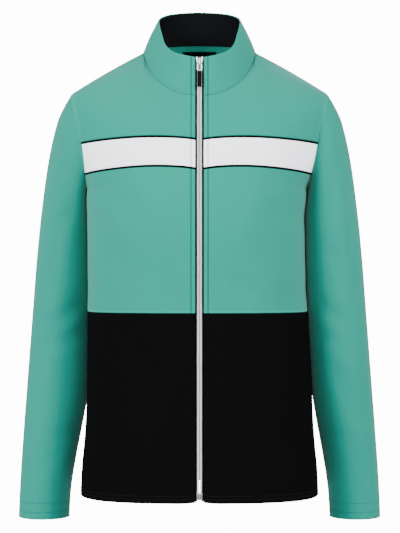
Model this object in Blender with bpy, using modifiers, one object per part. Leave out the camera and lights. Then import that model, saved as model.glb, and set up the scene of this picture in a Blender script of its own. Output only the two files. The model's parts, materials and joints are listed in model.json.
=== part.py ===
"""Zip-front sweat jacket, filled out as if worn, as separate sewn pieces.

Metres, +Z up. The origin is the middle of the neck base, level with the tops of the shoulder seams. X = 0 is the
zip, Y = 0 holds the side and shoulder seams, and the front faces -Y. Left and right are the wearer's: left is +X.

The cloth is one skin of grids (fronts, back, sleeves, collar) whose points are worked out from the tables below.
Neighbouring grids share their seam points, so one set of normals gives every wall the same mitred seam, and each
piece is then cut from the skin and drawn back by half a seam gap.
"""

import math

import bmesh
import bpy
import numpy as np
from mathutils import Matrix, Vector

# ---- cloth ----------------------------------------------------------------------------------------------------
WALL = 0.0016                # double knit
SEAM_GAP = 0.0003            # between neighbouring pieces
FACING_WALL = 0.0012
FACING_GAP = 0.0006          # between the collar and its facing
LABEL_WALL = 0.0010
TAPE_WALL = 0.0010
PIPING_HALF_WIDTH = 0.0011
PIPING_GAP = 0.0004          # between the piping and the panels beside it
PIPING_RISE = 0.0009         # how far the piping stands out of the cloth
PIPING_OUTLINE = (           # share of the half width, and depth from the cloth's face
    (-1.0, -WALL), (-1.0, 0.3 * PIPING_RISE), (-0.6, 0.8 * PIPING_RISE), (0.0, PIPING_RISE),
    (0.6, 0.8 * PIPING_RISE), (1.0, 0.3 * PIPING_RISE), (1.0, -WALL),
)

# ---- main points ----------------------------------------------------------------------------------------------
HEM_Z = -0.649
WAIST_SEAM_Z = -0.3825
NECK_HALF_WIDTH = 0.083      # to the top of the shoulder seam
SHOULDER_X = 0.189
SHOULDER_Z = -0.061
SHOULDER_BOW = 0.002         # how far the shoulder seam arches above a straight line
UNDERARM_X = 0.1665
UNDERARM_Z = -0.205
ARMHOLE_FRONT_DEPTH = 0.050
ARMHOLE_BACK_DEPTH = 0.056
ARMHOLE_FRONT_BOW = 0.0055   # how far the front armhole is hollowed towards the chest
ZIP_EDGE_X = 0.006           # the fronts and the collar end this far from the middle

# ---- grid -----------------------------------------------------------------------------------------------------
NECK_COLUMNS = 6             # columns of a front or half back that end at the neck
SHOULDER_COLUMNS = 7         # columns that end at the shoulder seam
COLUMNS = NECK_COLUMNS + SHOULDER_COLUMNS
COLLAR_ROWS = 4
SLEEVE_ROWS = 19
ARC_SAMPLES = 240
WEAK_DIRECTION = 0.5         # a direction is unclear when this little of it is square to the normal
SEAM_SPLIT = (0.31, 0.52, 0.80)   # an edge's quads are split from the end that lies behind in this direction

# Key rows of the fronts and the back, from hem to shoulder. Below the underarm a row ends on the side seam at
# side_z, above it on the armhole at an angle of 180 degrees at the underarm and 0 at the shoulder point. rise is
# how far the row arches between the zip and the side.
ROW_COLUMNS = ("row", "front_z", "rise", "back_z", "side_z", "armhole_angle")
ROW_TABLE = (
    (0, HEM_Z, 0.000, HEM_Z, HEM_Z, 180.0),
    (7, WAIST_SEAM_Z, 0.000, WAIST_SEAM_Z, WAIST_SEAM_Z, 180.0),
    (14, -0.2220, 0.000, -0.2220, UNDERARM_Z, 180.0),
    (17, -0.1786, 0.0045, -0.1600, UNDERARM_Z, 133.0),
    (19, -0.1360, 0.0040, -0.1120, UNDERARM_Z, 94.0),
    (24, 0.0, 0.000, 0.0, UNDERARM_Z, 0.0),
)
HEM, WAIST, UNDERARM, LOW_PIPING, HIGH_PIPING, SHOULDER = (row[0] for row in ROW_TABLE)

# Plan sections of the body by level. A squareness of 2 is an ellipse, and more is boxier.
BODY_COLUMNS = ("z", "half_width", "front_depth", "back_depth", "front_square", "back_square")
BODY_TABLE = (
    (-0.649, 0.1746, 0.1300, 0.1240, 2.90, 2.40),
    (-0.633, 0.1746, 0.1300, 0.1245, 2.90, 2.40),
    (-0.588, 0.1707, 0.1285, 0.1235, 2.85, 2.40),
    (-0.544, 0.1673, 0.1275, 0.1190, 2.80, 2.40),
    (-0.500, 0.1658, 0.1265, 0.1120, 2.70, 2.35),
    (-0.440, 0.1650, 0.1255, 0.1010, 2.60, 2.30),
    (-0.383, 0.1650, 0.1260, 0.0950, 2.50, 2.30),
    (-0.320, 0.1650, 0.1310, 0.0955, 2.45, 2.30),
    (-0.262, 0.1656, 0.1345, 0.1010, 2.45, 2.30),
    (-0.232, 0.1664, 0.1325, 0.1050, 2.45, 2.30),
    (-0.205, 0.1665, 0.1280, 0.1075, 2.50, 2.30),
    (-0.179, 0.1665, 0.1215, 0.1085, 2.50, 2.30),
    (-0.136, 0.1665, 0.1075, 0.1065, 2.50, 2.30),
    (-0.110, 0.1665, 0.1000, 0.1030, 2.50, 2.30),
)
TURN_PER_ROW = 6.0           # degrees that a section turns less for each row above the underarm

# Directions in which the cloth meets the neck seam at the middle, and the shoulder seam at the neck and its tip.
LEANS = {
    "front": ((0.0, 0.36, 0.93), (0.0, 0.86, 0.50), (0.0, 0.96, 0.28)),
    "back": ((0.0, -0.42, 0.91), (-0.35, -0.90, 0.15), (0.0, -0.95, 0.30)),
}
YOKE_FULLNESS = 1.05

# Stations round the neck from the zip edge to the centre back: the seam below the collar, and the collar's rim.
STATION_TABLE = (
    (ZIP_EDGE_X, -0.0820, -0.0725, ZIP_EDGE_X, -0.0760, -0.0165),
    (0.0336, -0.0780, -0.0670, 0.0270, -0.0700, -0.0115),
    (0.0575, -0.0620, -0.0510, 0.0470, -0.0510, 0.0000),
    (0.0735, -0.0360, -0.0280, 0.0560, -0.0290, 0.0240),
    (NECK_HALF_WIDTH, 0.0000, 0.0000, 0.0605, -0.0040, 0.0440),
    (0.0745, 0.0300, 0.0095, 0.0580, 0.0180, 0.0545),
    (0.0440, 0.0500, 0.0150, 0.0400, 0.0400, 0.0630),
    (0.0000, 0.0570, 0.0170, 0.0000, 0.0510, 0.0670),
)
SHOULDER_STATION = 4
NECK_MIDDLE_Y = -0.012
COLLAR_BULGE = 0.0015

# Sleeve rings by share of the sleeve's length: outermost and innermost points, middle and half depth.
SLEEVE_COLUMNS = ("share", "outer_x", "outer_z", "inner_x", "inner_z", "middle_y", "half_depth")
SLEEVE_TABLE = (
    (0.00, SHOULDER_X, SHOULDER_Z, UNDERARM_X, UNDERARM_Z, 0.003, 0.0530),
    (0.07, 0.2080, -0.0940, 0.1650, -0.2200, 0.012, 0.0560),
    (0.15, 0.2215, -0.1400, 0.1630, -0.2420, 0.022, 0.0565),
    (0.26, 0.2335, -0.2080, 0.1605, -0.2780, 0.033, 0.0555),
    (0.38, 0.2434, -0.2900, 0.1600, -0.3300, 0.040, 0.0530),
    (0.52, 0.2514, -0.3880, 0.1630, -0.4010, 0.042, 0.0500),
    (0.68, 0.2590, -0.4920, 0.1655, -0.4920, 0.038, 0.0470),
    (0.84, 0.2647, -0.5850, 0.1812, -0.5850, 0.026, 0.0420),
    (0.93, 0.2675, -0.6400, 0.1905, -0.6400, 0.019, 0.0385),
    (1.00, 0.2692, -0.6880, 0.1935, -0.6880, 0.015, 0.0370),
)
ARMHOLE_FADE = 0.3           # share of the sleeve over which its rings lose the armhole's own shape
ARM_CLEARANCE = 0.0012       # between a sleeve and the body
CLEARANCE_SLOPE = 0.45       # how fast that clearance opens below the underarm seam

# The left arm hangs a little further forward and presses the body's left side in, by this share of the depth.
PRESS_COLUMNS = ("z", "share")
PRESS_TABLE = (
    (-0.510, 0.0), (-0.480, 0.02), (-0.433, 0.28), (-0.366, 0.62), (-0.307, 0.85), (-0.240, 1.0), (-0.205, 0.66),
    (-0.165, 0.12), (-0.135, 0.0), (-0.060, 0.0),
)
PRESS_DEPTH = {"left": 0.0110, "right": 0.0}
ARM_FORWARD = {"left": 0.0400, "right": 0.0}
FORWARD_UNTIL = 0.91          # share of the sleeve where that ends
FORWARD_NARROWS = 0.42        # share by which the outer edge comes in for each metre that the arm is forward

# Soft troughs, seen from the front (side "front"), the back or on a sleeve: ends in X and Z on the left half.
FOLD_TABLE = (                # part, then both ends, width and depth
    ("front", 0.164, -0.196, 0.104, -0.236, 0.012, 0.0024),
    ("front", 0.163, -0.236, 0.122, -0.262, 0.011, 0.0016),
    ("front", 0.158, -0.350, 0.104, -0.372, 0.016, 0.0018),
    ("front", 0.118, -0.560, 0.109, -0.660, 0.016, 0.0026),
    ("back", 0.160, -0.190, 0.095, -0.225, 0.014, 0.0026),
    ("back", 0.150, -0.330, 0.060, -0.362, 0.018, 0.0024),
    ("back", 0.150, -0.395, 0.070, -0.408, 0.017, 0.0020),
    ("back", 0.092, -0.540, 0.086, -0.660, 0.018, 0.0028),
    ("sleeve", 0.176, -0.372, 0.214, -0.402, 0.012, 0.0026),
    ("sleeve", 0.178, -0.418, 0.220, -0.432, 0.011, 0.0022),
    ("sleeve", 0.186, -0.560, 0.222, -0.574, 0.010, 0.0014),
    ("sleeve", 0.196, -0.176, 0.190, -0.240, 0.012, 0.0020),
)

# ---- trim -----------------------------------------------------------------------------------------------------
FACING_ABOVE_SEAM = 0.0022
FACING_BELOW_RIM = 0.0016
FACING_ZIP_EDGE_X = 0.0175
FACING_ROWS = 6
LABEL_HALF_WIDTH = 0.025
LABEL_TOP_Z = 0.0095
LABEL_HEIGHT = 0.020
LABEL_STEPS = 3              # of the label in each row and column of the back
TAPE_INNER_X = 0.0038
TAPE_OUTER_X = 0.0160
TAPE_END = 0.0012            # the tape stops this far from hem and rim
CHAIN_HALF_WIDTH = 0.0035
CHAIN_FRONT = -0.0006        # depth behind the cloth's face is negative
CHAIN_BACK = -0.0032
STOP_HALF_WIDTH = 0.0042
STOP_BOTTOM_Z = -0.6450
STOP_HEIGHT = 0.0100
STOP_FRONT = 0.0002
STOP_BACK = -0.0016
HEM_CORNER_RISE = 0.0015     # the hem is rounded up to the zip

# ---- slider and pull: height, depth and width in the slider's own frame, with the pull's pin at its origin -----
PIN_Z = -0.0270
PIN_PROUD = 0.0026           # of the cloth's face
PIN_RADIUS = 0.00055
PLATE_TOP = 0.0120
PLATE_BOTTOM = -0.0022
PLATE_TOP_HALF_WIDTH = 0.0052
PLATE_BOTTOM_HALF_WIDTH = 0.0036
PLATE_FACE = -0.0012         # in front of the pin is positive
FRONT_PLATE_THICKNESS = 0.0026
WEB_HALF_WIDTH = 0.0013
BACK_PLATE_FACE = -0.0060
BACK_PLATE_THICKNESS = 0.0012
BRIDGE_HALF_WIDTH = 0.0013
BRIDGE_TOP = 0.0044
BRIDGE_BOTTOM = -0.0016
BRIDGE_FRONT = 0.0016
BRIDGE_SINK = 0.0002          # how far the bridge reaches into the plate
BRIDGE_EYE = 0.00095         # half the side of the square eye that the pin turns in
LINK_HALF_WIDTH = 0.0031
LINK_DROP = 0.0098
LINK_WIRE = 0.00055
TAB_HALF_WIDTH = 0.0034
TAB_LENGTH = 0.0230
TAB_THICKNESS = 0.0018
TAB_BEVEL = 0.0004
PULL_LEAN = math.radians(2.0)   # the pull rests this much closer to upright than the zip does

# ---- colours: red, green and blue as Blender's linear values, roughness and metallic ----------------------------
FINISHES = {
    "teal_knit": ((0.140, 0.470, 0.395), 0.85, 0.0),
    "black_knit": ((0.006, 0.006, 0.007), 0.85, 0.0),
    "white_knit": ((0.760, 0.765, 0.790), 0.85, 0.0),
    "black_piping": ((0.005, 0.005, 0.006), 0.60, 0.0),
    "black_label": ((0.008, 0.008, 0.009), 0.55, 0.0),
    "black_tape": ((0.010, 0.011, 0.011), 0.80, 0.0),
    "silver_metal": ((0.620, 0.620, 0.610), 0.30, 1.0),
    "black_rubber": ((0.007, 0.007, 0.007), 0.45, 0.0),
}


# ---- small helpers --------------------------------------------------------------------------------------------
def unit(vectors):
    length = np.linalg.norm(vectors, axis=-1, keepdims=True)
    return vectors / np.maximum(length, 1e-12)


def smooth(value):
    value = np.clip(value, 0.0, 1.0)
    return value * value * (3.0 - 2.0 * value)


def curve_through(keys, values, at):
    """A smooth curve through values given at rising keys, read at one place or at many."""
    keys, values = np.asarray(keys, float), np.asarray(values, float)
    if values.ndim == 1:
        return curve_through(keys, values[:, None], at)[..., 0]
    slopes = np.gradient(values, keys, axis=0)
    at = np.clip(np.asarray(at, float), keys[0], keys[-1])
    left = np.clip(np.searchsorted(keys, at, side="right") - 1, 0, len(keys) - 2)
    span = keys[left + 1] - keys[left]
    t = ((at - keys[left]) / span)[..., None]
    span = span[..., None]
    return (
        (2 * t**3 - 3 * t**2 + 1) * values[left]
        + (t**3 - 2 * t**2 + t) * span * slopes[left]
        + (3 * t**2 - 2 * t**3) * values[left + 1]
        + (t**3 - t**2) * span * slopes[left + 1]
    )


def column(table, names, name):
    return [row[names.index(name)] for row in table]


def body_size(name, z):
    return curve_through(column(BODY_TABLE, BODY_COLUMNS, "z"), column(BODY_TABLE, BODY_COLUMNS, name), z)


def sleeve_size(name, share):
    shares = column(SLEEVE_TABLE, SLEEVE_COLUMNS, "share")
    return curve_through(shares, column(SLEEVE_TABLE, SLEEVE_COLUMNS, name), share)


def row_size(name, row):
    return np.interp(row, column(ROW_TABLE, ROW_COLUMNS, "row"), column(ROW_TABLE, ROW_COLUMNS, name))


def press(side, z):
    """How far the arm pushes the body's side in at a level."""
    share = np.interp(z, column(PRESS_TABLE, PRESS_COLUMNS, "z"), column(PRESS_TABLE, PRESS_COLUMNS, "share"))
    return PRESS_DEPTH[side] * share


def run_of(points):
    steps = np.linalg.norm(np.diff(points, axis=0), axis=1)
    return np.concatenate([[0.0], np.cumsum(steps)])


def spaced(points, count):
    """A polyline's points again, count steps evenly apart."""
    run = run_of(points)
    at = np.linspace(0.0, run[-1], count + 1)
    return np.stack([np.interp(at, run, points[:, k]) for k in range(3)], axis=1)


# ---- body -----------------------------------------------------------------------------------------------------
def armhole_point(side, face, angle):
    """Point of the armhole, 0 degrees at the shoulder point and 180 at the underarm."""
    turn = math.radians(angle)
    depth, bow = (-ARMHOLE_FRONT_DEPTH, ARMHOLE_FRONT_BOW) if face == "front" else (ARMHOLE_BACK_DEPTH, 0.0)
    down = (1.0 - math.cos(turn)) / 2.0
    z = SHOULDER_Z + (UNDERARM_Z - SHOULDER_Z) * down
    x = SHOULDER_X + (UNDERARM_X - SHOULDER_X) * down - bow * math.sin(turn) ** 2 - press(side, z)
    return np.array([x, depth * math.sin(turn), z])


def side_point(side, face, row):
    if row > UNDERARM:
        return armhole_point(side, face, row_size("armhole_angle", row))
    z = row_size("side_z", row)
    return np.array([body_size("half_width", z) - press(side, z), 0.0, z])


def section(side, face, row):
    """One row of a front or half back, from the middle to the side edge, evenly spaced."""
    front = face == "front"
    middle_z = row_size("front_z" if front else "back_z", row)
    middle_y = -body_size("front_depth", middle_z) if front else body_size("back_depth", middle_z)
    power = 2.0 / body_size("front_square" if front else "back_square", middle_z)
    start_x = ZIP_EDGE_X if front else 0.0
    end = side_point(side, face, row)
    turn = math.radians(90.0 - TURN_PER_ROW * max(0, row - UNDERARM))
    angle = np.linspace(0.0, turn, ARC_SAMPLES)
    across = np.sin(angle) ** power / math.sin(turn) ** power
    back = (1.0 - np.cos(angle) ** power) / (1.0 - max(math.cos(turn), 0.0) ** power)
    rise = row_size("rise", row) if front else 0.0
    line = np.stack(
        [
            start_x + (end[0] - start_x) * across,
            middle_y + (end[1] - middle_y) * back,
            middle_z + (end[2] - middle_z) * across**2 + rise * np.sin(math.pi * across**0.8),
        ],
        axis=1,
    )
    return spaced(line, COLUMNS)


def stations(places):
    """Seam and rim points at places along the station table, past the centre back on the other side."""
    table = np.array(STATION_TABLE, float)
    beyond = table[::-1][1:] * np.array([-1, 1, 1, -1, 1, 1])
    both = np.concatenate([table, beyond])
    read = curve_through(np.arange(len(both)), both, places)
    return read[..., :3], read[..., 3:]


def even_places(start, end, count):
    """Places between two stations that lie evenly along the neck seam."""
    fine = np.linspace(start, end, ARC_SAMPLES)
    run = run_of(stations(fine)[0])
    return np.interp(np.linspace(0.0, run[-1], count + 1), run, fine)


def neck_places():
    """Places of the grid's columns round half the neck: zip edge, shoulder, centre back."""
    front = even_places(0, SHOULDER_STATION, NECK_COLUMNS)
    back = even_places(SHOULDER_STATION, len(STATION_TABLE) - 1, NECK_COLUMNS)
    return np.concatenate([front, back[1:]])


def top_row(side, face):
    """Neck seam, then shoulder seam, from the middle to the shoulder point."""
    places = neck_places()
    places = places[: NECK_COLUMNS + 1] if face == "front" else places[NECK_COLUMNS:][::-1]
    neck = stations(places)[0]
    share = np.linspace(0.0, 1.0, SHOULDER_COLUMNS + 1)[1:, None]
    tip = armhole_point(side, face, 0.0)
    shoulder = neck[-1] + (tip - neck[-1]) * share
    shoulder[:, 2] += SHOULDER_BOW * np.sin(math.pi * share[:, 0])
    return np.concatenate([neck, shoulder])


def half_grid(side, face):
    """Skin of one front or half back: rows up, columns from the middle to the side edge."""
    grid = np.zeros((SHOULDER + 1, COLUMNS + 1, 3))
    for row in range(HIGH_PIPING + 1):
        grid[row] = section(side, face, row)
    base, top = grid[HIGH_PIPING], top_row(side, face)
    neck_lean, shoulder_lean, tip_lean = np.array(LEANS[face])
    to_shoulder = smooth(np.arange(COLUMNS + 1) / NECK_COLUMNS)[:, None]
    to_tip = smooth((np.arange(COLUMNS + 1) - NECK_COLUMNS) / SHOULDER_COLUMNS)[:, None]
    lean = neck_lean + (shoulder_lean - neck_lean) * to_shoulder + (tip_lean - shoulder_lean) * to_tip
    reach = YOKE_FULLNESS * np.linalg.norm(top - base, axis=1, keepdims=True)
    leave = unit(base - grid[HIGH_PIPING - 1]) * reach
    arrive = unit(lean) * reach
    weight = (np.arange(COLUMNS + 1) / COLUMNS)[:, None] ** 2
    for row in range(HIGH_PIPING + 1, SHOULDER + 1):
        t = (row - HIGH_PIPING) / (SHOULDER - HIGH_PIPING)
        line = (
            (2 * t**3 - 3 * t**2 + 1) * base
            + (t**3 - 2 * t**2 + t) * leave
            + (3 * t**2 - 2 * t**3) * top
            + (t**3 - t**2) * arrive
        )
        edge = armhole_point(side, face, row_size("armhole_angle", row))
        grid[row] = line + (edge - line[-1]) * weight
    if face == "front":
        grid[HEM, 0, 2] += HEM_CORNER_RISE
    return grid


# ---- sleeves and collar ---------------------------------------------------------------------------------------
def body_side_x(side, y, z):
    """How far out the body's skin is at a depth and a level below the underarm."""
    half = body_size("half_width", z) - press(side, z)
    depth = np.where(y < 0.0, body_size("front_depth", z), body_size("back_depth", z))
    square = np.where(y < 0.0, body_size("front_square", z), body_size("back_square", z))
    share = np.clip(1.0 - np.minimum(np.abs(y) / depth, 1.0) ** square, 0.0, 1.0)
    return half * share ** (1.0 / square)


def sleeve_ring(side, share, angle):
    """Ring of a sleeve on its own ellipse, at angles like the armhole's, negative at the back."""
    outer = np.array([sleeve_size("outer_x", share), 0.0, sleeve_size("outer_z", share)])
    inner = np.array([sleeve_size("inner_x", share), 0.0, sleeve_size("inner_z", share)])
    inner[0] -= press(side, inner[2])
    forward = ARM_FORWARD[side] * math.sin(math.pi * min(share / FORWARD_UNTIL, 1.0))
    outer[0] *= 1.0 - FORWARD_NARROWS * forward
    middle_y = sleeve_size("middle_y", share) - forward
    turn = np.radians(angle)[:, None]
    ring = (outer + inner) / 2 + (outer - inner) / 2 * np.cos(turn)
    ring[:, 1] = middle_y - sleeve_size("half_depth", share) * np.sin(turn[:, 0])
    return ring


def sleeve_grid(side, front, back):
    """Skin of a sleeve: rows from cuff to armhole, columns from the underarm round the front and back again."""
    armhole = np.concatenate([front[UNDERARM:, -1], back[UNDERARM + 1 : SHOULDER, -1][::-1]])
    rise = [row_size("armhole_angle", row) for row in range(UNDERARM, SHOULDER + 1)]
    angle = np.array(rise + [-a for a in rise[-2:0:-1]])
    even = 180.0 - np.arange(len(angle)) * 360.0 / len(angle)
    shape = armhole - sleeve_ring(side, 0.0, angle)
    rings = [armhole]
    for step in range(1, SLEEVE_ROWS + 1):
        share = (step / SLEEVE_ROWS) ** 1.15
        fade = 1.0 - smooth(share / ARMHOLE_FADE)
        ring = sleeve_ring(side, share, angle * fade + even * (1.0 - fade)) + shape * fade
        below = UNDERARM_Z - ring[:, 2]
        clear = np.clip(SEAM_GAP + CLEARANCE_SLOPE * below, SEAM_GAP, ARM_CLEARANCE)
        limit = body_side_x(side, ring[:, 1], np.minimum(ring[:, 2], UNDERARM_Z)) + clear
        over = ring[:, 0] - limit
        pushed = limit + (over + np.sqrt(over**2 + ARM_CLEARANCE**2)) / 2
        ring[:, 0] = np.where(below > 0.0, pushed, ring[:, 0])
        rings.append(ring)
    return np.array(rings[::-1])


def collar_grid():
    """Skin of the collar: rows up, columns from the left zip edge round the back to the right zip edge."""
    half = neck_places()
    last = 2 * (len(STATION_TABLE) - 1)
    seam, rim = stations(np.concatenate([half, last - half[::-1][1:]]))
    away = seam - np.array([0.0, NECK_MIDDLE_Y, 0.0])
    away[:, 2] = 0.0
    away[[0, -1], 0] = 0.0
    rows = []
    for row in range(COLLAR_ROWS + 1):
        share = row / COLLAR_ROWS
        rows.append(seam * (1 - share) + rim * share + unit(away) * COLLAR_BULGE * math.sin(math.pi * share))
    return np.array(rows)


# ---- skin -----------------------------------------------------------------------------------------------------
def mirrored(grid):
    """A grid of the other side, still with its faces pointing out."""
    return (grid * np.array([-1.0, 1.0, 1.0]))[:, ::-1]


def place_key(point):
    return tuple(np.round(point * 1e6).astype(int))


def skin_normals(grids):
    """Outward normals of every grid point, shared by the pieces that meet there.

    Body, sleeves and collar count alike where they meet, so that a seam's mitre halves the angle between them.
    """
    total = {"body": {}, "sleeve": {}, "collar": {}}
    for name, grid in grids.items():
        part = name.split("_")[0]
        sums = total.get(part, total["body"])
        wide = np.concatenate([grid, grid[:, :1]], axis=1) if part == "sleeve" else grid
        across = wide[1:, 1:] - wide[:-1, :-1]
        up = wide[1:, :-1] - wide[:-1, 1:]
        faces = np.cross(across, up)
        for row, col in np.ndindex(faces.shape[:2]):
            for corner in (wide[row, col], wide[row, col + 1], wide[row + 1, col], wide[row + 1, col + 1]):
                key = place_key(corner)
                sums[key] = sums.get(key, 0.0) + faces[row, col]
    normals = {}
    for name, grid in grids.items():
        flat = []
        for point in grid.reshape(-1, 3):
            key = place_key(point)
            flat.append(sum(unit(sums[key]) for sums in total.values() if key in sums))
        normals[name] = unit(np.array(flat)).reshape(grid.shape)
    return normals


def fold_depth(where, points):
    """How deep the troughs are at each point."""
    depth = np.zeros(points.shape[:-1])
    flat = np.stack([np.abs(points[..., 0]), points[..., 2]], axis=-1)
    for place, x1, z1, x2, z2, width, deep in FOLD_TABLE:
        if place != where:
            continue
        start, along = np.array([x1, z1]), np.array([x2 - x1, z2 - z1])
        share = np.clip(((flat - start) @ along) / (along @ along), 0.0, 1.0)
        away = np.linalg.norm(flat - start - share[..., None] * along, axis=-1)
        taper = np.sin(math.pi * (0.2 + 0.8 * share)) if where != "sleeve" else 1.0
        depth += deep * taper * np.exp(-((away / width) ** 2))
    return depth


def build_skin():
    """All outer grids and normals, with the folds in them."""
    grids = {}
    for side in ("left", "right"):
        front, back = half_grid(side, "front"), half_grid(side, "back")
        sleeve = sleeve_grid(side, front, back)
        halves = {"front_" + side: front, "back_" + side: back[:, ::-1], "sleeve_" + side: sleeve}
        for name, grid in halves.items():
            grids[name] = grid if side == "left" else mirrored(grid)
    grids["back"] = np.concatenate([grids.pop("back_left"), grids.pop("back_right")[:, 1:]], axis=1)
    grids["collar"] = collar_grid()
    normals = skin_normals(grids)
    for name, grid in grids.items():
        where = name.split("_")[0]
        depth = fold_depth(where, grid)
        if where == "sleeve":
            depth = depth * smooth(-unit(normals[name])[..., 1] * 1.5)
            depth[-1] = 0.0
        else:
            depth = depth * smooth(np.abs(grid[..., 0]) / 0.03)
            edges = [0, -1] if where == "back" else [-1 if name.endswith("left") else 0]
            depth[:, edges] = 0.0
            depth[-1] = 0.0
        grids[name] = grid - normals[name] * depth[..., None]
    return grids, skin_normals(grids)


# ---- cutting pieces from the skin -----------------------------------------------------------------------------
def draw_in(grid, normals, edges, corners=None, ring=False):
    """Shift of every point that draws a piece's named edges in, square to the edge and in the cloth.

    A bottom or top edge slides along the side edges at its ends, so that it never crosses their seams. corners
    gives the places where a named edge turns, so that both of its runs are drawn in there. Where the normal leans
    along the edge, as it does under the arm, the next point's direction serves.
    """
    shift = np.zeros_like(grid)
    lines = {
        "bottom": (np.s_[0, :], 1.0, 1),
        "top": (np.s_[-1, :], -1.0, -2),
        "start": (np.s_[:, 0], -1.0, None),
        "end": (np.s_[:, -1], 1.0, None),
    }
    for edge, amount in edges.items():
        where, travel, next_row = lines[edge]
        line, line_normals, line_shift = grid[where], normals[where], shift[where]
        cuts = [0, *(corners or {}).get(edge, ()), len(line) - 1]
        for first, last in zip(cuts, cuts[1:]):
            part = slice(first, last + 1)
            if ring:
                along = np.roll(line, -1, axis=0) - np.roll(line, 1, axis=0)
            else:
                along = np.gradient(line[part], axis=0)
            square = np.cross(line_normals[part], travel * unit(along))
            inward = unit(square)
            for end, beside in ((0, 1), (-1, -2)):
                if np.linalg.norm(square[end]) < WEAK_DIRECTION:
                    inward[end] = inward[beside]
            if next_row is not None and not ring:
                for end, tip in ((0, 0), (-1, len(line) - 1)):
                    if tip in (first, last):
                        inward[end] = unit(grid[next_row, tip] - line[tip])
            line_shift[part] += amount * inward
    return shift


def finish(name):
    """The material of a finish, made once."""
    if name in bpy.data.materials:
        return bpy.data.materials[name]
    colour, roughness, metallic = FINISHES[name]
    material = bpy.data.materials.new(name)
    material.use_nodes = True
    shader = material.node_tree.nodes["Principled BSDF"]
    shader.inputs["Base Color"].default_value = (*colour, 1.0)
    shader.inputs["Roughness"].default_value = roughness
    shader.inputs["Metallic"].default_value = metallic
    material.diffuse_color = (*colour, 1.0)
    return material


def add_object(name, data, finish_name, collection):
    made = bpy.data.objects.new(name, data)
    data.materials.append(finish(finish_name))
    collection.objects.link(made)
    return made


def wall(name, finish_name, collection, outer, inner, ring=False):
    """A closed wall between two grids of the same size, with its edges filled.

    Both faces are split into triangles along the same diagonals, so the wall keeps its thickness where it twists.
    The edges are split by their direction, so that two pieces' edges match along a seam.
    """
    rows, columns = outer.shape[:2]
    count = rows * columns
    steps = columns if ring else columns - 1

    def at(row, col, side):
        return side * count + row * columns + col % columns

    faces = []
    for row in range(rows - 1):
        for col in range(steps):
            low_left, low_right = (row, col), (row, col + 1)
            high_left, high_right = (row + 1, col), (row + 1, col + 1)
            for corners in ((low_left, low_right, high_right), (low_left, high_right, high_left)):
                faces.append([at(*corner, 0) for corner in corners])
                faces.append([at(*corner, 1) for corner in reversed(corners)])
    top, last = rows - 1, columns - 1
    rim = [((0, col + 1), (0, col)) for col in range(steps)] + [((top, col), (top, col + 1)) for col in range(steps)]
    if not ring:
        rim += [((row, 0), (row + 1, 0)) for row in range(top)] + [((row + 1, last), (row, last)) for row in range(top)]
    for start, end in rim:
        quad = [at(*start, 0), at(*end, 0), at(*end, 1), at(*start, 1)]
        along = outer[end[0], end[1] % columns] - outer[start[0], start[1] % columns]
        if along @ SEAM_SPLIT < 0.0:
            quad = quad[1:] + quad[:1]
        faces += [quad[:3], [quad[0], *quad[2:]]]
    mesh = bpy.data.meshes.new(name)
    points = np.concatenate([outer.reshape(-1, 3), inner.reshape(-1, 3)])
    mesh.from_pydata(points.tolist(), [], faces)
    mesh.shade_smooth()
    mesh.set_sharp_from_angle(angle=math.radians(50))
    return add_object(name, mesh, finish_name, collection)


def cloth(name, finish_name, collection, grid, normals, shift, depth=0.0, thickness=WALL, ring=False):
    """A piece of cloth cut from the skin, depth behind its face."""
    outer = grid + shift - normals * depth
    return wall(name, finish_name, collection, outer, outer - normals * thickness, ring)


def rod(name, finish_name, collection, rings):
    """A closed solid through rings of the same count of points, capped at both ends."""
    mesh = bpy.data.meshes.new(name)
    bm = bmesh.new()
    made = [[bm.verts.new(point) for point in ring] for ring in rings]
    count = len(rings[0])
    for low, high in zip(made, made[1:]):
        for k in range(count):
            bm.faces.new((low[k], low[(k + 1) % count], high[(k + 1) % count], high[k]))
    bm.faces.new(made[0][::-1])
    bm.faces.new(made[-1])
    bmesh.ops.recalc_face_normals(bm, faces=bm.faces)
    bm.to_mesh(mesh)
    bm.free()
    mesh.shade_smooth()
    mesh.set_sharp_from_angle(angle=math.radians(50))
    return add_object(name, mesh, finish_name, collection)


# ---- cloth pieces ---------------------------------------------------------------------------------------------
def add_front(side, grids, normals, collection):
    """One front: black lower, teal middle, white band between two pipings, teal yoke."""
    grid, normal = grids["front_" + side], normals["front_" + side]
    side_edge = "end" if side == "left" else "start"
    neck_corner = NECK_COLUMNS if side == "left" else SHOULDER_COLUMNS
    seam, piping_edge = SEAM_GAP / 2, PIPING_HALF_WIDTH + PIPING_GAP
    pieces = (
        ("front_lower_", "black_knit", HEM, WAIST, {"top": seam}, {}),
        ("front_middle_", "teal_knit", WAIST, LOW_PIPING, {"bottom": seam, "top": piping_edge},
         {side_edge: (UNDERARM - WAIST,)}),
        ("chest_band_", "white_knit", LOW_PIPING, HIGH_PIPING, {"bottom": piping_edge, "top": piping_edge}, {}),
        ("front_yoke_", "teal_knit", HIGH_PIPING, SHOULDER, {"bottom": piping_edge, "top": seam},
         {"top": (neck_corner,)}),
    )
    for name, colour, low, high, edges, corners in pieces:
        rows = slice(low, high + 1)
        shift = draw_in(grid[rows], normal[rows], {**edges, side_edge: seam}, corners)
        cloth(name + side, colour, collection, grid[rows], normal[rows], shift)
    side_shift = draw_in(grid, normal, {side_edge: seam}, {side_edge: (UNDERARM,)})
    for name, row in (("piping_low_", LOW_PIPING), ("piping_high_", HIGH_PIPING)):
        above, below = slice(row, row + 2), slice(row - 1, row + 1)
        up = draw_in(grid[above], normal[above], {"bottom": 1.0})[0]
        down = draw_in(grid[below], normal[below], {"top": 1.0})[-1]
        add_piping(name + side, grid[row] + side_shift[row], normal[row], up, down, collection)


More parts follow.
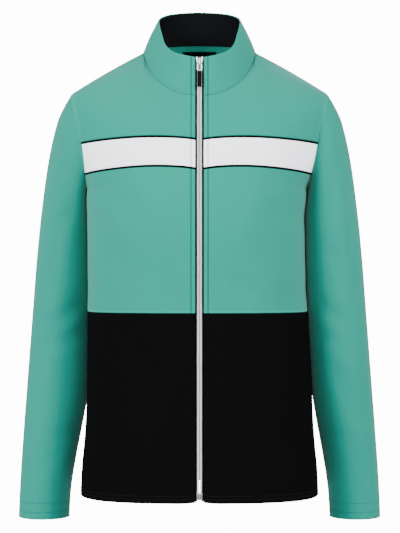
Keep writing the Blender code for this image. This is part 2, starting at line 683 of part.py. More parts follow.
def add_piping(name, line, normals, up, down, collection):
    """A raised cord of folded bias strip between two panels, which are drawn in along up and down."""
    rings = []
    for point, normal, above, below in zip(line, normals, up, down):
        ring = []
        for share, out in PIPING_OUTLINE:
            across = above * max(share, 0.0) + below * max(-share, 0.0)
            ring.append(point + across * PIPING_HALF_WIDTH + normal * out)
        rings.append(ring)
    rod(name, "black_piping", collection, rings)


def add_back(grids, normals, collection):
    """The back, black below the waist seam and teal above it."""
    grid, normal = grids["back"], normals["back"]
    seam = SEAM_GAP / 2
    lower, upper = slice(HEM, WAIST + 1), slice(WAIST, SHOULDER + 1)
    shift = draw_in(grid[lower], normal[lower], {"top": seam, "start": seam, "end": seam})
    cloth("back_lower", "black_knit", collection, grid[lower], normal[lower], shift)
    corners = {
        "start": (UNDERARM - WAIST,),
        "end": (UNDERARM - WAIST,),
        "top": (SHOULDER_COLUMNS, 2 * COLUMNS - SHOULDER_COLUMNS),
    }
    edges = {"bottom": seam, "top": seam, "start": seam, "end": seam}
    shift = draw_in(grid[upper], normal[upper], edges, corners)
    cloth("back_upper", "teal_knit", collection, grid[upper], normal[upper], shift)


def add_sleeve(side, grids, normals, collection):
    grid, normal = grids["sleeve_" + side], normals["sleeve_" + side]
    shift = draw_in(grid, normal, {"top": SEAM_GAP / 2}, ring=True)
    cloth("sleeve_" + side, "teal_knit", collection, grid, normal, shift, ring=True)


def add_collar(grids, normals, collection):
    """The stand-up collar and, inside it, the black facing."""
    grid, normal = grids["collar"], normals["collar"]
    neck = (NECK_COLUMNS, 3 * NECK_COLUMNS)
    shift = draw_in(grid, normal, {"bottom": SEAM_GAP / 2}, {"bottom": neck})
    cloth("collar", "teal_knit", collection, grid, normal, shift)
    step = np.linalg.norm(grid[1, NECK_COLUMNS] - grid[0, NECK_COLUMNS])
    rows = np.linspace(FACING_ABOVE_SEAM / step, COLLAR_ROWS - FACING_BELOW_RIM / step, FACING_ROWS + 1)
    start = (FACING_ZIP_EDGE_X - ZIP_EDGE_X) / (grid[-1, 1, 0] - ZIP_EDGE_X)
    columns = with_steps(start, grid.shape[1] - 1 - start, 1)
    points, point_normals = patch(grid, normal, rows, columns)
    cloth("collar_facing", "black_knit", collection, points, point_normals, np.zeros_like(points),
          WALL + FACING_GAP, FACING_WALL)


def between(grid, row, col):
    """Point of a grid's triangles at a row and a column that needn't be whole."""
    low, left = min(int(row), grid.shape[0] - 2), min(int(col), grid.shape[1] - 2)
    up, right = row - low, col - left
    near, far = grid[low, left], grid[low + 1, left + 1]
    bend = grid[low, left + 1] if right > up else grid[low + 1, left]
    return near * (1 - max(up, right)) + bend * abs(right - up) + far * min(up, right)


def with_steps(low, high, steps):
    """Two places on a grid and, between them, the ones that split each whole row or column into steps."""
    first, last = math.floor(low * steps) + 1, math.ceil(high * steps)
    return np.concatenate([[low], np.arange(first, last) / steps, [high]])


def patch(grid, normals, rows, columns):
    """Points and normals of a piece that lies along a grid between its rows and columns."""
    return tuple(np.array([[between(source, row, col) for col in columns] for row in rows])
                 for source in (grid, normals))


def add_label(grids, normals, collection):
    """A plain label inside the back, just below the neck seam, bent only where the back bends."""
    grid, normal = grids["back"], normals["back"]
    middle, top = grid[:, COLUMNS], grid[SHOULDER]
    rows = np.interp((LABEL_TOP_Z - LABEL_HEIGHT, LABEL_TOP_Z), middle[:, 2], np.arange(len(middle)))
    columns = np.interp((-LABEL_HALF_WIDTH, LABEL_HALF_WIDTH), -top[:, 0], np.arange(len(top)))
    points, point_normals = patch(grid, normal, with_steps(*rows, LABEL_STEPS), with_steps(*columns, LABEL_STEPS))
    cloth("neck_label", "black_label", collection, points, point_normals, np.zeros_like(points),
          WALL + SEAM_GAP, LABEL_WALL)


# ---- zip ------------------------------------------------------------------------------------------------------
def zip_columns(side, grids, normals):
    """The two columns next to the zip, from hem to rim, and their normals."""
    front, collar = grids["front_" + side], grids["collar"]
    front_normal, collar_normal = normals["front_" + side], normals["collar"]
    pair = [0, 1] if side == "left" else [-1, -2]
    points = np.concatenate([front[:, pair], collar[1:, pair]])
    return points, np.concatenate([front_normal[:, pair], collar_normal[1:, pair]])


def zip_line(grids, normals):
    """The line down the middle of the zip, from hem to rim, and its outward normals."""
    points, point_normals = zip_columns("left", grids, normals)
    flat = np.array([0.0, 1.0, 1.0])
    return points[:, 0] * flat, unit(point_normals[:, 0] * flat)


def stretch(line, line_normals, low_z, high_z):
    """The part of the zip's line between two levels."""
    inside = line[(line[:, 2] > low_z) & (line[:, 2] < high_z), 2]
    levels = np.concatenate([[low_z], inside, [high_z]])
    points = np.stack([np.interp(levels, line[:, 2], line[:, k]) for k in range(3)], axis=1)
    point_normals = np.stack([np.interp(levels, line[:, 2], line_normals[:, k]) for k in range(3)], axis=1)
    return points, unit(point_normals)


def add_tape(side, grids, normals, collection):
    """Half of the zip's woven tape, behind the edge of a front and of the collar."""
    points, point_normals = zip_columns(side, grids, normals)
    sign = 1.0 if side == "left" else -1.0
    share = (TAPE_OUTER_X - ZIP_EDGE_X) / (np.abs(points[:, 1, 0]) - ZIP_EDGE_X)
    inner, edge = points[:, 0].copy(), points[:, 0]
    inner[:, 0] = sign * TAPE_INNER_X
    outer = edge + (points[:, 1] - edge) * share[:, None]
    edge_normal = point_normals[:, 0]
    outer_normal = unit(edge_normal + (point_normals[:, 1] - edge_normal) * share[:, None])
    order = slice(None) if side == "left" else slice(None, None, -1)
    grid = np.stack([inner, edge, outer], axis=1)[:, order]
    level_normal = unit(edge_normal * np.array([0.0, 1.0, 1.0]))
    normal = np.stack([level_normal, edge_normal, outer_normal], axis=1)[:, order]
    shift = draw_in(grid, normal, {"bottom": TAPE_END, "top": TAPE_END})
    cloth("zip_tape_" + side, "black_tape", collection, grid, normal, shift, WALL + SEAM_GAP, TAPE_WALL)


def add_bar(name, collection, line, line_normals, half_width, front, back):
    """A bar down the middle of the zip, between two depths from the cloth's face."""
    wide = np.array([half_width, 0.0, 0.0])
    grid = np.stack([line - wide, line + wide], axis=1)
    normal = np.stack([line_normals, line_normals], axis=1)
    wall(name, "silver_metal", collection, grid + normal * front, grid + normal * back)


def slider_frame(line, line_normals, lean=0.0):
    """The slider's own frame: across, up the zip and out of it, with the pull's pin at its origin."""
    points, point_normals = stretch(line, line_normals, PIN_Z - PLATE_TOP, PIN_Z + PLATE_TOP)
    up = Vector(points[-1] - points[0]).normalized()
    across = Vector((1.0, 0.0, 0.0))
    out = across.cross(up)
    pin = np.array([np.interp(PIN_Z, line[:, 2], line[:, k]) for k in range(3)])
    frame = Matrix((across, up, out)).transposed().to_4x4()
    frame.translation = Vector(pin) + out * PIN_PROUD
    return frame @ Matrix.Rotation(lean, 4, "X")


def add_slider(frame, collection):
    """Slider: two plates joined by a web that the tape passes, with a bridge over the pull's pin."""
    rings = []
    for up, wide in ((PLATE_BOTTOM, PLATE_BOTTOM_HALF_WIDTH), (PLATE_TOP, PLATE_TOP_HALF_WIDTH)):
        face, back = PLATE_FACE, PLATE_FACE - FRONT_PLATE_THICKNESS
        rear, tail = BACK_PLATE_FACE, BACK_PLATE_FACE - BACK_PLATE_THICKNESS
        corners = (
            (wide, face), (wide, back), (WEB_HALF_WIDTH, back), (WEB_HALF_WIDTH, rear), (wide, rear), (wide, tail),
        )
        outline = [*corners, *((-x, out) for x, out in reversed(corners))]
        rings.append([(x, up, out) for x, out in outline])
    slider = rod("zip_slider", "silver_metal", collection, rings)
    root = PLATE_FACE - BRIDGE_SINK
    profile = (
        (BRIDGE_BOTTOM, root), (BRIDGE_BOTTOM, 0.8 * BRIDGE_FRONT), (0.8 * BRIDGE_BOTTOM, BRIDGE_FRONT),
        (0.75 * BRIDGE_TOP, BRIDGE_FRONT), (BRIDGE_TOP, 0.5 * BRIDGE_FRONT), (BRIDGE_TOP, root),
        (BRIDGE_EYE, root), (BRIDGE_EYE, BRIDGE_EYE), (-BRIDGE_EYE, BRIDGE_EYE), (-BRIDGE_EYE, root),
    )
    rings = [[(x, up, out) for up, out in profile] for x in (-BRIDGE_HALF_WIDTH, BRIDGE_HALF_WIDTH)]
    bridge = rod("zip_bridge_cutter", "silver_metal", collection, rings)
    join = slider.modifiers.new("bridge", "BOOLEAN")
    join.operation = "UNION"
    join.object = bridge
    bridge.hide_render = True
    bridge.display_type = "WIRE"
    slider.matrix_world = frame
    bridge.matrix_world = frame


def add_pull(frame, collection):
    """The pull: a metal link that turns in the slider's bridge, and a rubber tab below it."""
    outline = bpy.data.curves.new("zip_pull_link", "CURVE")
    outline.dimensions = "2D"
    outline.fill_mode = "BOTH"
    outline.extrude = LINK_WIRE
    for grow in (LINK_WIRE, -LINK_WIRE):
        spline = outline.splines.new("POLY")
        spline.points.add(3)
        corners = ((-1, 1), (1, 1), (1, -1), (-1, -1))
        for point, (x, y) in zip(spline.points, corners):
            up = grow if y > 0 else -LINK_DROP - grow
            point.co = (x * (LINK_HALF_WIDTH + grow), up, 0.0, 1.0)
        spline.use_cyclic_u = True
    link = add_object("zip_pull_link", outline, "silver_metal", collection)
    link.matrix_world = frame
    top = -LINK_DROP - LINK_WIRE - SEAM_GAP
    half_thick = TAB_THICKNESS / 2
    rings = [
        [(-TAB_HALF_WIDTH, up, -half_thick), (TAB_HALF_WIDTH, up, -half_thick),
         (TAB_HALF_WIDTH, up, half_thick), (-TAB_HALF_WIDTH, up, half_thick)]
        for up in (top - TAB_LENGTH, top)
    ]
    tab = rod("zip_pull_tab", "black_rubber", collection, rings)
    bevel = tab.modifiers.new("rounded", "BEVEL")
    bevel.width = TAB_BEVEL
    bevel.segments = 2
    tab.matrix_world = frame


def add_zip(grids, normals, collection, cutters):
    line, line_normals = zip_line(grids, normals)
    for side in ("left", "right"):
        add_tape(side, grids, normals, collection)
    stop_top = STOP_BOTTOM_Z + STOP_HEIGHT
    stop = stretch(line, line_normals, STOP_BOTTOM_Z, stop_top)
    add_bar("zip_bottom_stop", collection, *stop, STOP_HALF_WIDTH, STOP_FRONT, STOP_BACK)
    chain = stretch(line, line_normals, stop_top + SEAM_GAP, PIN_Z + PLATE_BOTTOM - SEAM_GAP)
    add_bar("zip_chain", collection, *chain, CHAIN_HALF_WIDTH, CHAIN_FRONT, CHAIN_BACK)
    add_slider(slider_frame(line, line_normals), collection)
    cutter = bpy.data.objects["zip_bridge_cutter"]
    collection.objects.unlink(cutter)
    cutters.objects.link(cutter)
    add_pull(slider_frame(line, line_normals, PULL_LEAN), collection)


# ---- whole ----------------------------------------------------------------------------------------------------
def main():
    for found in list(bpy.data.objects):
        bpy.data.objects.remove(found, do_unlink=True)
    jacket = bpy.data.collections.new("sweat_jacket")
    cutters = bpy.data.collections.new("cutters")
    for made in (jacket, cutters):
        bpy.context.scene.collection.children.link(made)
    grids, normals = build_skin()
    for side in ("left", "right"):
        add_front(side, grids, normals, jacket)
        add_sleeve(side, grids, normals, jacket)
    add_back(grids, normals, jacket)
    add_collar(grids, normals, jacket)
    add_label(grids, normals, jacket)
    add_zip(grids, normals, jacket, cutters)


main()
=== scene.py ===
"""Looks of the zip-front sweat jacket: smooth cloth, seams and creases, sewing, zip and studio.

The cloth is drafted from the same named sizes as the solids, refined to a smooth surface, and cut along
the same seams. Everything else is placed on that surface.
Metres, +Z up, the front faces -Y, the wearer's left is +X.
"""

import json  # noqa: E402
import logging  # noqa: E402
import math  # noqa: E402
from dataclasses import dataclass, field  # noqa: E402
from enum import Enum  # noqa: E402
from typing import NamedTuple  # noqa: E402

import bpy  # noqa: E402
import numpy as np  # noqa: E402
from mathutils import Matrix, Vector, kdtree  # noqa: E402

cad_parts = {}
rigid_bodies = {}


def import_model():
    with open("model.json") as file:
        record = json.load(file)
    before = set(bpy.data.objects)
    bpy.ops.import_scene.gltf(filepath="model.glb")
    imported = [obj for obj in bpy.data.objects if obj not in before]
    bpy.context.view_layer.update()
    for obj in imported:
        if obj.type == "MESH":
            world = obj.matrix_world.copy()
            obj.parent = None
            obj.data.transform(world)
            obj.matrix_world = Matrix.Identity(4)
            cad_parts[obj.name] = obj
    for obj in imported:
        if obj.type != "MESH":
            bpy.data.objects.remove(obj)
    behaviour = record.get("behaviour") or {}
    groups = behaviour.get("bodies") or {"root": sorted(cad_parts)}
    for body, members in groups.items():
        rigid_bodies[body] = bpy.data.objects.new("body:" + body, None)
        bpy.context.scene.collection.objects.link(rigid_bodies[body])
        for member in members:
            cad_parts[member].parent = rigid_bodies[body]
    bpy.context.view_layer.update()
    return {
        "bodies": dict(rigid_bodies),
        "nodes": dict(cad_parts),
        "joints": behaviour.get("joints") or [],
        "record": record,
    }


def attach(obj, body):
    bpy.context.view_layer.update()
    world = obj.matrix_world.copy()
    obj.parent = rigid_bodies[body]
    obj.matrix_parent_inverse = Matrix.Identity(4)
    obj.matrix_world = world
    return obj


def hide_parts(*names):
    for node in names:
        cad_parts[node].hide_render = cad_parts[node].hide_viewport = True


LOG = logging.getLogger("jacket")
Array = np.ndarray
Size = tuple[float, float, float]
Line = tuple[Array, Array]            # points and the outward normals there
Face = tuple[int, ...]                # numbers of its points

WALL = 0.0016
HEM_Z, WAIST_Z = -0.649, -0.3825
NECK_HALF_WIDTH = 0.083
ZIP_EDGE_X = 0.006
ZIP_STITCH_X = 0.012                  # the topstitching beside the zip
WAIST_ROW, UNDERARM_ROW, LOW_PIPING_ROW, HIGH_PIPING_ROW, TOP_ROW = 7, 14, 17, 19, 24
COLLAR_ROWS = 4
EDGE_FADE = 1.5                       # rows or columns over which the creases end before a seam
UPRIGHT = np.array([0.0, 1.0, 1.0])   # takes a point or a direction onto the zip's own plane
DOWN, OUT = (0.0, -1.0, 0.0), (0.0, 0.0, 1.0)  # ends of the slider's blocks


class Side(Enum):
    """The wearer's two sides."""

    LEFT = "left"
    RIGHT = "right"

    @property
    def sign(self) -> float:
        """Direction of this side along X."""
        return 1.0 if self is Side.LEFT else -1.0


class Row(NamedTuple):
    """A key row of the fronts and the back."""

    row: int
    front_z: float
    rise: float
    back_z: float
    side_z: float
    armhole_angle: float


class BodySection(NamedTuple):
    """A plan section of the body at a level."""

    z: float
    half_width: float
    front_depth: float
    back_depth: float
    front_square: float
    back_square: float


class NeckStation(NamedTuple):
    """Neck seam and collar rim at one place round the neck."""

    seam_x: float
    seam_y: float
    seam_z: float
    rim_x: float
    rim_y: float
    rim_z: float


class SleeveRing(NamedTuple):
    """Outermost and innermost points of a sleeve, its middle and its half depth, by share of its length."""

    share: float
    outer_x: float
    outer_z: float
    inner_x: float
    inner_z: float
    middle_y: float
    half_depth: float


class Crease(NamedTuple):
    """A soft trough, or a raised fold where its depth is negative, between two places on one part of the
    cloth.

    It is mirrored on the other side unless only is given, and on a sleeve it is in front unless rear is set.
    """

    where: str
    x1: float
    z1: float
    x2: float
    z2: float
    width: float
    depth: float
    only: str = ""
    rear: bool = False


# ---- arithmetic of curves ----------------------------------------------
def unit(vectors: Array) -> Array:
    """Vectors of length one."""
    return vectors / np.maximum(np.linalg.norm(vectors, axis=-1, keepdims=True), 1e-12)


def smooth(value: Array) -> Array:
    """Smooth step from 0 to 1."""
    value = np.clip(value, 0.0, 1.0)
    return value * value * (3.0 - 2.0 * value)


def cubic(t: Array, start: Array, leave: Array, end: Array, arrive: Array) -> Array:
    """A cubic from start to end with its slopes at both, at shares t of the way.

    Args:
        t: shares of the way, from 0 to 1.
        start: where it starts.
        leave: its slope there.
        end: where it ends.
        arrive: its slope there.

    Returns:
        The points at those shares.
    """
    return (
        (2 * t**3 - 3 * t**2 + 1) * start
        + (t**3 - 2 * t**2 + t) * leave
        + (3 * t**2 - 2 * t**3) * end
        + (t**3 - t**2) * arrive
    )


def curve_through(keys: list[float], values: list[float], at: Array) -> Array:
    """A smooth curve through values given at rising keys.

    Args:
        keys: where the values are given.
        values: the values there, numbers or points.
        at: where the curve is read.

    Returns:
        The curve's values at those places.
    """
    keys, values = np.asarray(keys, float), np.asarray(values, float)
    if values.ndim == 1:
        return curve_through(keys, values[:, None], at)[..., 0]
    slopes = np.gradient(values, keys, axis=0)
    at = np.clip(np.asarray(at, float), keys[0], keys[-1])
    left = np.clip(np.searchsorted(keys, at, side="right") - 1, 0, len(keys) - 2)
    span = (keys[left + 1] - keys[left])[..., None]
    t = ((at - keys[left])[..., None]) / span
    return cubic(t, values[left], span * slopes[left], values[left + 1], span * slopes[left + 1])


def run_of(points: Array) -> Array:
    """Length along a polyline at each of its points."""
    steps = np.linalg.norm(np.diff(points, axis=0), axis=-1)
    return np.concatenate([np.zeros((1, *steps.shape[1:])), np.cumsum(steps, axis=0)])


def read_along(at: Array, run: Array, values: Array) -> Array:
    """Points or directions that are given at rising lengths, read at other lengths."""
    return np.stack([np.interp(at, run, values[:, k]) for k in range(3)], axis=1)


def spaced(points: Array, count: int) -> Array:
    """A polyline's points again, count steps evenly apart."""
    run = run_of(points)
    return read_along(np.linspace(0.0, run[-1], count + 1), run, points)


def refine(values: Array, params: Array, breaks: dict[int, tuple[int, ...]], closed: bool = False) -> Array:
    """Reads smooth curves through a grid's points along its first axis.

    Args:
        values: points, first axis along the curves, second axis from one curve to the next.
        params: places along the curves, whole at the given points.
        breaks: for a curve's number, the places where it turns a corner.
        closed: whether the curves run round and meet themselves.

    Returns:
        The points at those places, on every curve.
    """
    count = len(values)
    segments = count if closed else count - 1
    ends = np.roll(values, -1, axis=0)[:segments]
    chord = ends - values[:segments]
    length = np.maximum(np.linalg.norm(chord, axis=-1, keepdims=True), 1e-9)
    way, before = chord / length, np.roll(length, 1, axis=0)
    turned = (np.roll(way, 1, axis=0) * length + way * before) / (length + before)
    leave, arrive = turned * length, np.roll(turned, -1, axis=0) * length
    if not closed:
        leave[0] = 1.5 * chord[0] - 0.5 * arrive[0]
        arrive[-1] = 1.5 * chord[-1] - 0.5 * leave[-1]
    for line, places in breaks.items():
        for place in places:
            here, last = (place % segments, line), ((place - 1) % segments, line)
            corner, previous = values[place % count, line], values[(place - 1) % count, line]
            leave[here] = 1.5 * (ends[here] - corner) - 0.5 * arrive[here]
            arrive[last] = 1.5 * (corner - previous) - 0.5 * leave[last]
    segment = np.clip(np.floor(params).astype(int), 0, segments - 1)
    t = (params - segment)[:, None, None]
    return cubic(t, values[segment], leave[segment], ends[segment], arrive[segment])


# ---- the draft: the jacket's surfaces ----------------------------------
@dataclass
class Surface:
    """A smooth surface through a coarse grid of rows (upwards) and columns, with its corners."""

    grid: Array
    where: str
    side: str
    column_breaks: dict[int, tuple[int, ...]] = field(default_factory=dict)
    row_breaks: dict[int, tuple[int, ...]] = field(default_factory=dict)
    closed: bool = False

    @property
    def last_row(self) -> int:
        """Number of the top row."""
        return self.grid.shape[0] - 1

    @property
    def last_column(self) -> int:
        """Number of the last column."""
        return self.grid.shape[1] - 1

    def read(self, rows: Array, columns: Array) -> Array:
        """Points at rows and columns that needn't be whole.

        Args:
            rows: places up the surface.
            columns: places across it.

        Returns:
            A grid of points.
        """
        turned = self.grid.transpose(1, 0, 2)
        across = refine(turned, columns, self.column_breaks, self.closed).transpose(1, 0, 2)
        edges = {}
        for edge, places in self.row_breaks.items():
            edges.update({int(k): places for k in np.flatnonzero(np.isclose(columns, edge))})
        return refine(across, rows, edges)

    def normals(self, points: Array) -> Array:
        """Outward normals of a grid of points.

        Args:
            points: a grid of the surface's points.

        Returns:
            The normals, a grid like it.
        """
        if self.closed:
            across = np.roll(points, -1, axis=1) - np.roll(points, 1, axis=1)
        else:
            across = np.gradient(points, axis=1)
        return unit(np.cross(across, np.gradient(points, axis=0)))

    def rim(self, steps: int = 8) -> Line:
        """Points and normals along the surface's own edges, some steps to a row or column.

        Args:
            steps: steps from one row or column to the next.

        Returns:
            The points and their normals.
        """
        rows = np.linspace(0.0, self.last_row, self.last_row * steps + 1)
        columns = np.linspace(0.0, self.last_column, self.last_column * steps + 1)
        if self.closed:
            columns = np.arange((self.last_column + 1) * steps) / steps
        points, normals = self.skin(rows, columns)
        edges = [np.s_[-1, :], np.s_[0, :]]
        if not self.closed:
            edges += [np.s_[:, 0], np.s_[:, -1]]
        return np.concatenate([points[e] for e in edges]), np.concatenate([normals[e] for e in edges])

    def skin(self, rows: Array, columns: Array) -> Line:
        """Points and normals at rows and columns, with the creases in them.

        Args:
            rows: places up the surface.
            columns: places across it.

        Returns:
            Grids of the points and of their normals.
        """
        points = self.read(rows, columns)
        depth = crease_depth(self, points, self.normals(points))
        depth *= smooth((self.last_row - rows) / EDGE_FADE)[:, None]
        if self.where == "collar":
            depth *= smooth(rows / EDGE_FADE)[:, None]
        if self.where == "back":
            depth *= smooth(np.minimum(columns, self.last_column - columns) / EDGE_FADE)[None, :]
        if self.where == "front":
            seam = self.last_column - columns if self.side == "left" else columns
            depth *= smooth(seam / EDGE_FADE)[None, :]
        points = points - self.normals(points) * depth[..., None]
        return points, self.normals(points)


@dataclass
class JacketDraft:
    """Works out the jacket's surfaces from its sizes."""

    shoulder_x: float = 0.189
    shoulder_z: float = -0.061
    shoulder_bow: float = 0.002
    underarm_x: float = 0.1665
    underarm_z: float = -0.205
    armhole_front_depth: float = 0.050
    armhole_back_depth: float = 0.056
    armhole_front_bow: float = 0.0055
    neck_columns: int = 6
    shoulder_columns: int = 7
    shoulder_station: int = 4
    sleeve_rows: int = 19
    sleeve_row_growth: float = 1.15
    arc_samples: int = 240
    turn_per_row: float = 6.0
    yoke_fullness: float = 1.05
    neck_middle_y: float = -0.012
    collar_bulge: float = 0.0015
    armhole_fade: float = 0.3
    arm_clearance: float = 0.0012
    least_clearance: float = 0.0003
    clearance_slope: float = 0.45
    hem_corner_rise: float = 0.0015
    rise_skew: float = 0.8
    rows: tuple[Row, ...] = (
        Row(0, HEM_Z, 0.000, HEM_Z, HEM_Z, 180.0),
        Row(WAIST_ROW, WAIST_Z, 0.000, WAIST_Z, WAIST_Z, 180.0),
        Row(UNDERARM_ROW, -0.2220, 0.000, -0.2220, -0.205, 180.0),
        Row(LOW_PIPING_ROW, -0.1786, 0.0045, -0.1600, -0.205, 133.0),
        Row(HIGH_PIPING_ROW, -0.1360, 0.0040, -0.1120, -0.205, 94.0),
        Row(TOP_ROW, 0.0, 0.000, 0.0, -0.205, 0.0),
    )
    body: tuple[BodySection, ...] = tuple(
        BodySection(*row)
        for row in (
            (-0.649, 0.1746, 0.1300, 0.1240, 2.90, 2.40),
            (-0.633, 0.1746, 0.1300, 0.1245, 2.90, 2.40),
            (-0.588, 0.1707, 0.1285, 0.1235, 2.85, 2.40),
            (-0.544, 0.1673, 0.1275, 0.1190, 2.80, 2.40),
            (-0.500, 0.1658, 0.1265, 0.1120, 2.70, 2.35),
            (-0.440, 0.1650, 0.1255, 0.1010, 2.60, 2.30),
            (-0.383, 0.1650, 0.1260, 0.0950, 2.50, 2.30),
            (-0.320, 0.1650, 0.1310, 0.0955, 2.45, 2.30),
            (-0.262, 0.1656, 0.1345, 0.1010, 2.45, 2.30),
            (-0.232, 0.1664, 0.1325, 0.1050, 2.45, 2.30),
            (-0.205, 0.1665, 0.1280, 0.1075, 2.50, 2.30),
            (-0.179, 0.1665, 0.1215, 0.1085, 2.50, 2.30),
            (-0.136, 0.1665, 0.1075, 0.1065, 2.50, 2.30),
            (-0.110, 0.1665, 0.1000, 0.1030, 2.50, 2.30),
        )
    )
    neck: tuple[NeckStation, ...] = tuple(
        NeckStation(*row)
        for row in (
            (ZIP_EDGE_X, -0.0820, -0.0725, ZIP_EDGE_X, -0.0760, -0.0165),
            (0.0336, -0.0780, -0.0670, 0.0270, -0.0700, -0.0115),
            (0.0575, -0.0620, -0.0510, 0.0470, -0.0510, 0.0000),
            (0.0735, -0.0360, -0.0280, 0.0560, -0.0290, 0.0240),
            (NECK_HALF_WIDTH, 0.0000, 0.0000, 0.0605, -0.0040, 0.0440),
            (0.0745, 0.0300, 0.0095, 0.0580, 0.0180, 0.0545),
            (0.0440, 0.0500, 0.0150, 0.0400, 0.0400, 0.0630),
            (0.0000, 0.0570, 0.0170, 0.0000, 0.0510, 0.0670),
        )
    )
    sleeve: tuple[SleeveRing, ...] = tuple(
        SleeveRing(*row)
        for row in (
            (0.00, 0.189, -0.061, 0.1665, -0.205, 0.003, 0.0530),
            (0.07, 0.2080, -0.0940, 0.1650, -0.2200, 0.012, 0.0560),
            (0.15, 0.2215, -0.1400, 0.1630, -0.2420, 0.022, 0.0565),
            (0.26, 0.2335, -0.2080, 0.1605, -0.2780, 0.033, 0.0555),
            (0.38, 0.2434, -0.2900, 0.1600, -0.3300, 0.040, 0.0530),
            (0.52, 0.2514, -0.3880, 0.1630, -0.4010, 0.042, 0.0500),
            (0.68, 0.2590, -0.4920, 0.1655, -0.4920, 0.038, 0.0470),
            (0.84, 0.2647, -0.5850, 0.1812, -0.5850, 0.026, 0.0420),
            (0.93, 0.2675, -0.6400, 0.1905, -0.6400, 0.019, 0.0385),
            (1.00, 0.2692, -0.6880, 0.1935, -0.6880, 0.015, 0.0370),
        )
    )
    press_levels: tuple[tuple[float, float], ...] = (
        (-0.510, 0.0), (-0.480, 0.02), (-0.433, 0.28), (-0.366, 0.62), (-0.307, 0.85), (-0.240, 1.0),
        (-0.205, 0.66), (-0.165, 0.12), (-0.135, 0.0), (-0.060, 0.0),
    )
    press_depth: float = 0.0110
    arm_forward: float = 0.0400
    forward_until: float = 0.91
    forward_narrows: float = 0.42
    leans: dict[str, tuple[Size, ...]] = field(
        default_factory=lambda: {
            "front": ((0.0, 0.36, 0.93), (0.0, 0.86, 0.50), (0.0, 0.96, 0.28)),
            "back": ((0.0, -0.42, 0.91), (-0.35, -0.90, 0.15), (0.0, -0.95, 0.30)),
        }
    )

    @property
    def columns(self) -> int:
        """Columns of a front or a half back."""
        return self.neck_columns + self.shoulder_columns

    def row_size(self, name: str, row: float) -> float:
        """A size of the key rows, read at any row."""
        return float(np.interp(row, [r.row for r in self.rows], [getattr(r, name) for r in self.rows]))

    def body_size(self, name: str, z: Array) -> Array:
        """A size of the body's sections, read at any level."""
        return curve_through([s.z for s in self.body], [getattr(s, name) for s in self.body], z)

    def sleeve_size(self, name: str, share: float) -> Array:
        """A size of the sleeve's rings, read at any share of its length."""
        return curve_through([s.share for s in self.sleeve], [getattr(s, name) for s in self.sleeve], share)

    def press(self, side: Side, z: Array) -> Array:
        """How far the left arm pushes the body's side in at a level.

        Args:
            side: the wearer's side.
            z: the levels.

        Returns:
            The push at each level, in metres.
        """
        if side is Side.RIGHT:
            return np.zeros_like(z, dtype=float)
        levels = np.array(self.press_levels)
        return self.press_depth * np.interp(z, levels[:, 0], levels[:, 1])

    def armhole_point(self, side: Side, face: str, angle: float) -> Array:
        """Point of the armhole's front or back, 0 degrees at the shoulder point, 180 at the underarm.

        Args:
            side: the wearer's side, drawn on the left.
            face: "front" or "back".
            angle: degrees round that half of the armhole.

        Returns:
            The point.
        """
        turn = math.radians(angle)
        front = face == "front"
        depth = -self.armhole_front_depth if front else self.armhole_back_depth
        bow = self.armhole_front_bow if front else 0.0
        down = (1.0 - math.cos(turn)) / 2.0
        z = self.shoulder_z + (self.underarm_z - self.shoulder_z) * down
        x = self.shoulder_x + (self.underarm_x - self.shoulder_x) * down - bow * math.sin(turn) ** 2
        return np.array([x - float(self.press(side, np.array(z))), depth * math.sin(turn), z])

    def section(self, side: Side, face: str, row: int) -> Array:
        """One row of a front or half back.

        Args:
            side: the wearer's side, drawn on the left.
            face: "front" or "back".
            row: number of the row, up to the higher piping.

        Returns:
            Points from the middle to the side edge, evenly spaced.
        """
        front = face == "front"
        middle_z = self.row_size(face + "_z", row)
        depth = self.body_size(face + "_depth", middle_z)
        middle_y = -depth if front else depth
        power = 2.0 / self.body_size(face + "_square", middle_z)
        start_x = ZIP_EDGE_X if front else 0.0
        above = max(0, row - UNDERARM_ROW)
        if above:
            end = self.armhole_point(side, face, self.row_size("armhole_angle", row))
        else:
            z = self.row_size("side_z", row)
            end = np.array([float(self.body_size("half_width", z) - self.press(side, np.array(z))), 0.0, z])
        turn = math.radians(90.0 - self.turn_per_row * above)
        angle = np.linspace(0.0, turn, self.arc_samples)
        across = np.sin(angle) ** power / math.sin(turn) ** power
        back = (1.0 - np.cos(angle) ** power) / (1.0 - max(math.cos(turn), 0.0) ** power)
        rise = self.row_size("rise", row) if front else 0.0
        line = np.stack(
            [
                start_x + (end[0] - start_x) * across,
                middle_y + (end[1] - middle_y) * back,
                middle_z + (end[2] - middle_z) * across**2 + rise * np.sin(math.pi * across**self.rise_skew),
            ],
            axis=1,
        )
        return spaced(line, self.columns)

    def stations(self, places: Array) -> Line:
        """Seam and rim points at places along the neck's stations, past the centre back on the other side.

        Args:
            places: places, counted in stations from the zip edge.

        Returns:
            The seam's points and the rim's.
        """
        table = np.array(self.neck, float)
        both = np.concatenate([table, table[::-1][1:] * np.array([-1, 1, 1, -1, 1, 1])])
        read = curve_through(np.arange(len(both)), both, places)
        return read[..., :3], read[..., 3:]

    def neck_places(self) -> Array:
        """Places of the columns round half the neck: zip edge, shoulder, centre back.

        Returns:
            The places, counted in stations.
        """
        halves = []
        for start, end in ((0, self.shoulder_station), (self.shoulder_station, len(self.neck) - 1)):
            fine = np.linspace(start, end, self.arc_samples)
            run = run_of(self.stations(fine)[0])
            halves.append(np.interp(np.linspace(0.0, run[-1], self.neck_columns + 1), run, fine))
        return np.concatenate([halves[0], halves[1][1:]])

